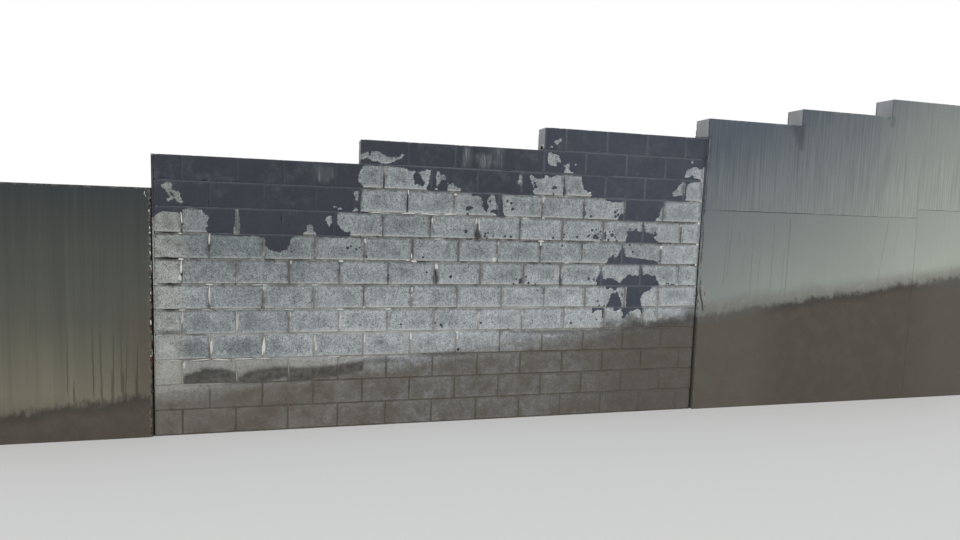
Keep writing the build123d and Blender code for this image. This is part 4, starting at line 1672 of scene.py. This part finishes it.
# Wet runs down the coat, and the cracks at its broken end painted dark as their shade with wet soil: upper
# end, lower end and half width
WET_LINES = (
    (5049, -360, 5025, -1050, 6), (5095, -300, 5067, -900, 6), (5181, -300, 5171, -620, 5),
    (5333, -470, 5335, -1070, 6), (5426, -540, 5421, -1040, 5), (5569, -360, 5563, -1040, 6),
    (5749, -280, 5745, -1100, 10), (5780, 410, 5786, -40, 6), (6959, -280, 6867, -950, 7),
    (5240, -500, 5236, -900, 4), (7090, -350, 7030, -850, 5), (5700, -620, 5694, -1080, 6),
)
CRACKS = ((4770, -980, 4822, -1240, 16), (4764, -1000, 4735, -1240, 12))


def light_coat_finish():
    look = Finish("light_weathered_render")
    along, up = look.along, look.up
    clouds = look.noise(1.3, 4, 0.6)
    level = (along - 5.05) * 0.17 + (0.45 - up) * 0.36 + along.rises(6.5, 7.3) * 0.15 + (clouds - 0.5) * 0.16
    tint = look.mix(level.at_least(0.0).at_most(1.0), SLATE, PALE_GREEN)
    upper = look.attribute("upper")
    runs = look.stretched(62, 1.5)
    threads = look.stretched(150, 2.2, 2, 0.6)
    grit = look.noise(*GRIT)
    smooth = 1 - along.rises(6.7, 7.3) * up.rises(0.1, 0.5) * 0.55
    rain = (runs - 0.5) * (upper * 0.80 + 0.06) + (threads - 0.5) * (upper * 0.40 + 0.10)
    tint = tint.shade(1.02 + upper * 0.03 + rain * smooth + (grit - 0.5) * 0.24)
    wobble = (look.stretched(1, 9) - 0.5) * 0.020
    broken = look.stretched(3, 6, 3).rises(0.30, 0.50)
    tint = tint.shade(1 - drawn_lines(along + wobble, up, WET_LINES) * broken * 0.22)
    tint = tint.shade(1 - look.attribute("damp") * 0.35)
    edge = look.attribute("rim") * look.noise(24, 3).rises(0.50, 0.66) * along.rises(4.9, 5.0)
    tint = tint.lay(LIME, edge * 0.35)
    # A painted shadow along the top of the lower coat, under the upper coat's lip
    lip = look.attribute("lip").rises(0.45, 0.95) * along.rises(4.94, 5.02)
    tint = tint.shade(1 - lip * (0.30 + look.noise(6) * 0.35))
    clear = look.above_ground()
    browned = clear.rises(0.22, 0.05) * look.noise(9, 3, 0.6).rises(0.10, 0.50)
    tint = tint.lay(COAT_BROWN, browned * 0.62)
    tint = look.soiled(tint, 0.10, 0.6 + along.rises(5.3, 5.8) * 0.3 - along.rises(7.2, 7.8) * 0.2)
    # The cracks are painted dark: the shade in them, with wet soil
    crack = drawn_lines(along + wobble, up, CRACKS)
    tint = tint.lay(WET_SOIL, crack * 0.85)
    return look.close(tint, 0.86, grit * 0.0010 + look.noise(55) * 0.0009 + threads * upper * 0.0004)


LIGHT_COAT = light_coat_finish()

# %% Coat the bays
# Damp shadows under the corners of the steps, as outlines
DAMP_CORNERS = ((5800, 350, 5830, 350, 5830, 600, 5660, 600), (6885, 640, 6900, 640, 6900, 750, 6840, 750))
# How far the damp fades, and its share on the outline
DAMP_FADE, DAMP_AT_RIM = 0.03, 0.6
COAT_SEED = 50
COATS_TO_MAKE = [(f"left_bay_{side}_render", DARK_COAT, False, True) for side in ("front", "back")]
COATS_TO_MAKE += [(f"{bay}_{side}_render_{part}", LIGHT_COAT, bay == "right_bay", False)
                  for side in ("front", "back") for part in ("lower", "upper")
                  for bay in ("right_bay", "end_bay")]


def store_coat(mesh, is_upper):
    """Damp corners, and whether a coat is an upper one, for every point of it."""
    damp = reach_in_any(DAMP_CORNERS, *from_marks(points_of(mesh)))
    store(mesh, "damp", np.clip(damp / DAMP_FADE + DAMP_AT_RIM, 0, 1))
    store(mesh, "upper", is_upper)


for number, (name, finish, broken_left, broken_right) in enumerate(COATS_TO_MAKE):
    is_upper, is_lower = name.endswith("upper"), name.endswith("lower")
    mesh = coat_mesh(name, COAT_SEED + number // 2, broken_left, broken_right, is_upper, is_lower)
    store_coat(mesh, is_upper)
    slot = "render_dark" if finish == DARK_COAT else "render_light"
    show(name.replace("render", "coat"), mesh, finish, slot, name)
    print(name, len(mesh.polygons) * 2, "triangles")

# %% [markdown]
# ## Between the bays
# The movement joints are half closed. Mortar squeezed past the blocks on both ends of the bare bay, and the
# coat beside it crumbled into the gap. A torn black membrane hangs out of the right joint's top, and the
# panel joint is filled almost flush in the coat's own grey. Each is a narrow box whose grid follows a few
# given widths.

# %% Measure what is in the joints
# Mortar squeezed past the blocks, from the ground up: height and width
LEFT_SQUEEZE = ((-2200, 4), (-1100, 7), (-400, 15), (0, 18))
RIGHT_SQUEEZE = ((-2200, 2), (-900, 3), (-270, 10), (400, 19))
# The crumbled coat and the membrane: height, left edge and right edge
CRUMBLED = ((-1120, 4752, 4772), (-300, 4758, 4772), (400, 4764, 4772))
MEMBRANE = (
    (-770, 4760, 4764), (-681, 4765, 4770), (-565, 4774, 4780), (-438, 4768, 4774), (-365, 4757, 4762),
    (-302, 4760, 4768), (-217, 4762, 4782), (-102, 4762, 4783), (2, 4764, 4781), (86, 4765, 4787),
    (149, 4766, 4802), (179, 4768, 4789), (303, 4770, 4795), (422, 4770, 4797),
)
# The membrane's flap: station, lower edge and upper edge, and how its end is bent back towards the wall
FLAP = ((4632, 403, 410), (4757, 402, 413), (4775, 405, 424), (4808, 416, 428))
FLAP_BEND = ((4.745, 4.772), (0.0170, 0.0))
print("the membrane hangs down to", -MEMBRANE[0][0], "mm below the mark")

# %% Make strips and slices
STRIP_CELL = 0.02
STRIP_LINES = 5
STRIP_WAVE = 0.06
# A height and an inset at which a block's finish shows neither its rim nor its foot
WELL_INSIDE = 0.1


def strip(name, stops, is_upright, y_low, y_high, seed=0, roughness=0.0):
    """A box along a line of stops: its two edges are given at each stop, and waves make them uneven."""
    stops = np.array(stops)
    lengths = lines_between([stops[0, 0], stops[-1, 0]], STRIP_CELL)
    across, depths = np.linspace(0, 1, STRIP_LINES), np.array([y_low, y_high])
    side, run = (0, 2) if is_upright else (2, 0)
    axes = (across, depths, lengths) if is_upright else (lengths, depths, across)
    points, faces = box_grid(*axes)
    share, reach = points[:, side].copy(), points[:, run].copy()
    near, far = (np.interp(reach, stops[:, 0], stops[:, column]) for column in (1, 2))
    points[:, side] = near + share * (far - near) + roughness * waves(reach, share, seed, STRIP_WAVE)
    points += (MARK_X, 0.0, MARK_Z)
    mesh = mesh_of(name, points, faces, smooth=False)
    store(mesh, "across", share)
    return mesh


def squeezed(side, name, edge, squeeze, low, high, y_low, y_high):
    """A slice of the mortar squeezed past one end of the bay, dressed like the blocks."""
    heights = sorted({low, high, *(height for height, _ in squeeze if low < height < high)})
    widths = np.interp(heights, *zip(*squeeze))
    stops = [(height, *sorted((edge, edge + side * width))) for height, width in zip(heights, widths)]
    mesh = strip(name, stops, True, y_low, y_high)
    points = points_of(mesh)
    points[:, 2] = np.clip(points[:, 2], FOOT_Z, None)
    move_points(mesh, points)
    dress(mesh, points[:, 2] - MARK_Z)
    for key in ("rise", "inset"):
        store(mesh, key, WELL_INSIDE)
    show(name, mesh, BLOCK_FINISH, "mortar")


print("strips have", STRIP_LINES, "lines across")

# %% Squeeze out the mortar
# How far behind the blocks' faces the squeezed mortar stays, and how thick its two outer slices are
SQUEEZE_SUNK = 0.001
SQUEEZE_DEPTH = 0.022
SQUEEZE_FACE = BACK_Y - SQUEEZE_SUNK
floor_z = FOOT_Z - MARK_Z
left_coat_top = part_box("left_bay_cap_render")[1][2] - MARK_Z
# At the right end the squeezed mortar stops just under the top of the wall
RIGHT_JOINT_TOP, RIGHT_WALL_TOP = 0.39, 0.398
# Name, side, edge, widths, top of the two slices in the joint and top of the slice over them
squeeze_jobs = (
    ("left", -1, 0.0, in_metres(LEFT_SQUEEZE), left_coat_top, 0.0),
    ("right", 1, BAY_END - MARK_X, in_metres(RIGHT_SQUEEZE), RIGHT_JOINT_TOP, RIGHT_WALL_TOP),
)
for label, side, edge, squeeze, joint_top, wall_top in squeeze_jobs:
    slices = (("front", floor_z, joint_top, -SQUEEZE_FACE, SQUEEZE_DEPTH - SQUEEZE_FACE),
              ("back", floor_z, joint_top, SQUEEZE_FACE - SQUEEZE_DEPTH, SQUEEZE_FACE),
              ("top", joint_top, wall_top, -SQUEEZE_FACE, SQUEEZE_FACE))
    for part, *extent in slices:
        squeezed(side, f"{label}_squeezed_{part}", edge, squeeze, *extent)
    print(label, "squeezed mortar up to", round(joint_top, 3), "m from the mark")

# %% Draw the membrane's finish
MEMBRANE_BLUE = colour(0.098, 0.103, 0.126)
MEMBRANE_PALE = colour(0.178, 0.186, 0.222)
# Painted shadow along both edges of the membrane
MEMBRANE_EDGE_SHADOW = colour(0.020, 0.021, 0.025)


def membrane_finish():
    look = Finish("torn_membrane")
    creases = look.stretched(60, 12, 3, 0.6)
    # Painted shadow of the membrane's edges, on both sides of the strip
    edge = (look.attribute("across") - 0.5).size().rises(0.24, 0.46)
    tint = look.mix(creases.rises(0.4, 0.7), MEMBRANE_BLUE, MEMBRANE_PALE)
    return look.close(tint.lay(MEMBRANE_EDGE_SHADOW, edge), 0.60, creases * 0.002)


MEMBRANE_FINISH = membrane_finish()

# %% Crumble the coat and hang the membrane
# Front and back of each strip
MEMBRANE_FACE = -0.1129
CRUMBLED_Y = (-0.1075, -0.0960)
MEMBRANE_Y = (MEMBRANE_FACE, MEMBRANE_FACE + 0.0012)
FLAP_Y = (MEMBRANE_FACE, MEMBRANE_FACE + 0.0015)
mesh = strip("crumbled", in_metres(CRUMBLED), True, *CRUMBLED_Y, seed=81, roughness=0.0022)
store_coat(mesh, False)
show("right_joint_crumbled", mesh, LIGHT_COAT, "render_light")
mesh = strip("membrane", in_metres(MEMBRANE), True, *MEMBRANE_Y, seed=91, roughness=0.0010)
show("torn_membrane", mesh, MEMBRANE_FINISH, "waterproofing")
mesh = strip("flap", in_metres(FLAP), False, *FLAP_Y, seed=92, roughness=0.0012)
points = points_of(mesh)
points[:, 1] += np.interp(points[:, 0] - MARK_X, *FLAP_BEND)
move_points(mesh, points)
show("torn_membrane_flap", mesh, MEMBRANE_FINISH, "waterproofing")
print("both movement joints half closed")

# %% Fill the panel joint
FILLER_ROWS = 80
FILLER_DEPTHS = (0.1072, 0.1112)
(joint_left, _, _), (joint_right, _, joint_top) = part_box("panel_joint")
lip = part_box("end_bay_front_render_upper")[0][2]
halves = [box_grid(np.array([joint_left, joint_right]), np.array([-half_depth, half_depth]),
                   np.linspace(low, high, FILLER_ROWS))
          for half_depth, low, high in zip(FILLER_DEPTHS, (FOOT_Z, lip), (lip, joint_top))]
points = np.concatenate([points for points, _ in halves])
faces = np.concatenate([halves[0][1], halves[1][1] + len(halves[0][0])])
mesh = mesh_of("panel_filler", points, faces, smooth=False)
store_coat(mesh, points[:, 2] > lip)
show("filled_panel_joint", mesh, LIGHT_COAT, "joint_filler", "panel_joint")
print("panel joint filled, its upper half", round(FILLER_DEPTHS[1] - FILLER_DEPTHS[0], 4), "m further out")

# %% [markdown]
# ## Tops, cores and joint strips
# The packed caps, cores and joint strips have the right shape already, so they stay and only get a finish.
# The caps are the same render, but paler where no rain runs, with brick and lime showing in the broken edge
# of the left bay. The strips are weathered black foam with dust on it.

# %% Finish the packed pieces
CAP_DARK = colour(0.272, 0.285, 0.296)
CAP_PALE = colour(0.385, 0.397, 0.402)
BRICK_SHADOW = colour(0.030, 0.026, 0.024)
BRICK_RED = colour(0.120, 0.046, 0.035)
BRICK_LIME = colour(0.50, 0.48, 0.44)
FOAM_BLACK = colour(0.018, 0.018, 0.019)
FOAM_DUST = colour(0.095, 0.082, 0.068)


def cap_finish():
    look = Finish("pale_render_tops")
    along = look.along
    clouds = look.noise(5, 4, 0.6)
    grit = look.noise(210, 3, 0.7)
    tint = look.mix(clouds, CAP_DARK, CAP_PALE)
    runs = look.stretched(34, 1.2, 3, 0.6)
    tint = tint.shade(0.66 + runs * 0.40 + grit * 0.30)
    crumbs = look.stretched(8, 24, 2, 0.6)
    brick = look.mix(crumbs.rises(0.50, 0.54), BRICK_SHADOW, BRICK_RED)
    brick = brick.lay(BRICK_LIME, crumbs.rises(0.60, 0.63))
    tint = tint.lay(brick, along.rises(-0.06, -0.045) * along.rises(0.01, 0.0))
    tint = look.soiled(tint, 0.2, 0.8)
    return look.close(tint, 0.92, grit * 0.0011 + clouds * 0.002)


def strip_finish():
    look = Finish("dusty_foam")
    dust = look.stretched(40, 9, 4, 0.7)
    pores = look.noise(350, 2, 0.6)
    tint = look.mix(dust.rises(0.48, 0.72), FOAM_BLACK, FOAM_DUST)
    tint = tint.shade(0.75 + pores * 0.5)
    return look.close(tint, 0.97, pores * 0.0012 + dust * 0.002)


FINISHES = {"cap": cap_finish(), "control_joint": strip_finish()}
FINISHES["core"] = FINISHES["cap"]
for name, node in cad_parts.items():
    for part, finish in FINISHES.items():
        if part in name:
            for slot in node.material_slots:
                slot.material = finish
            print(name, "has", finish.name)
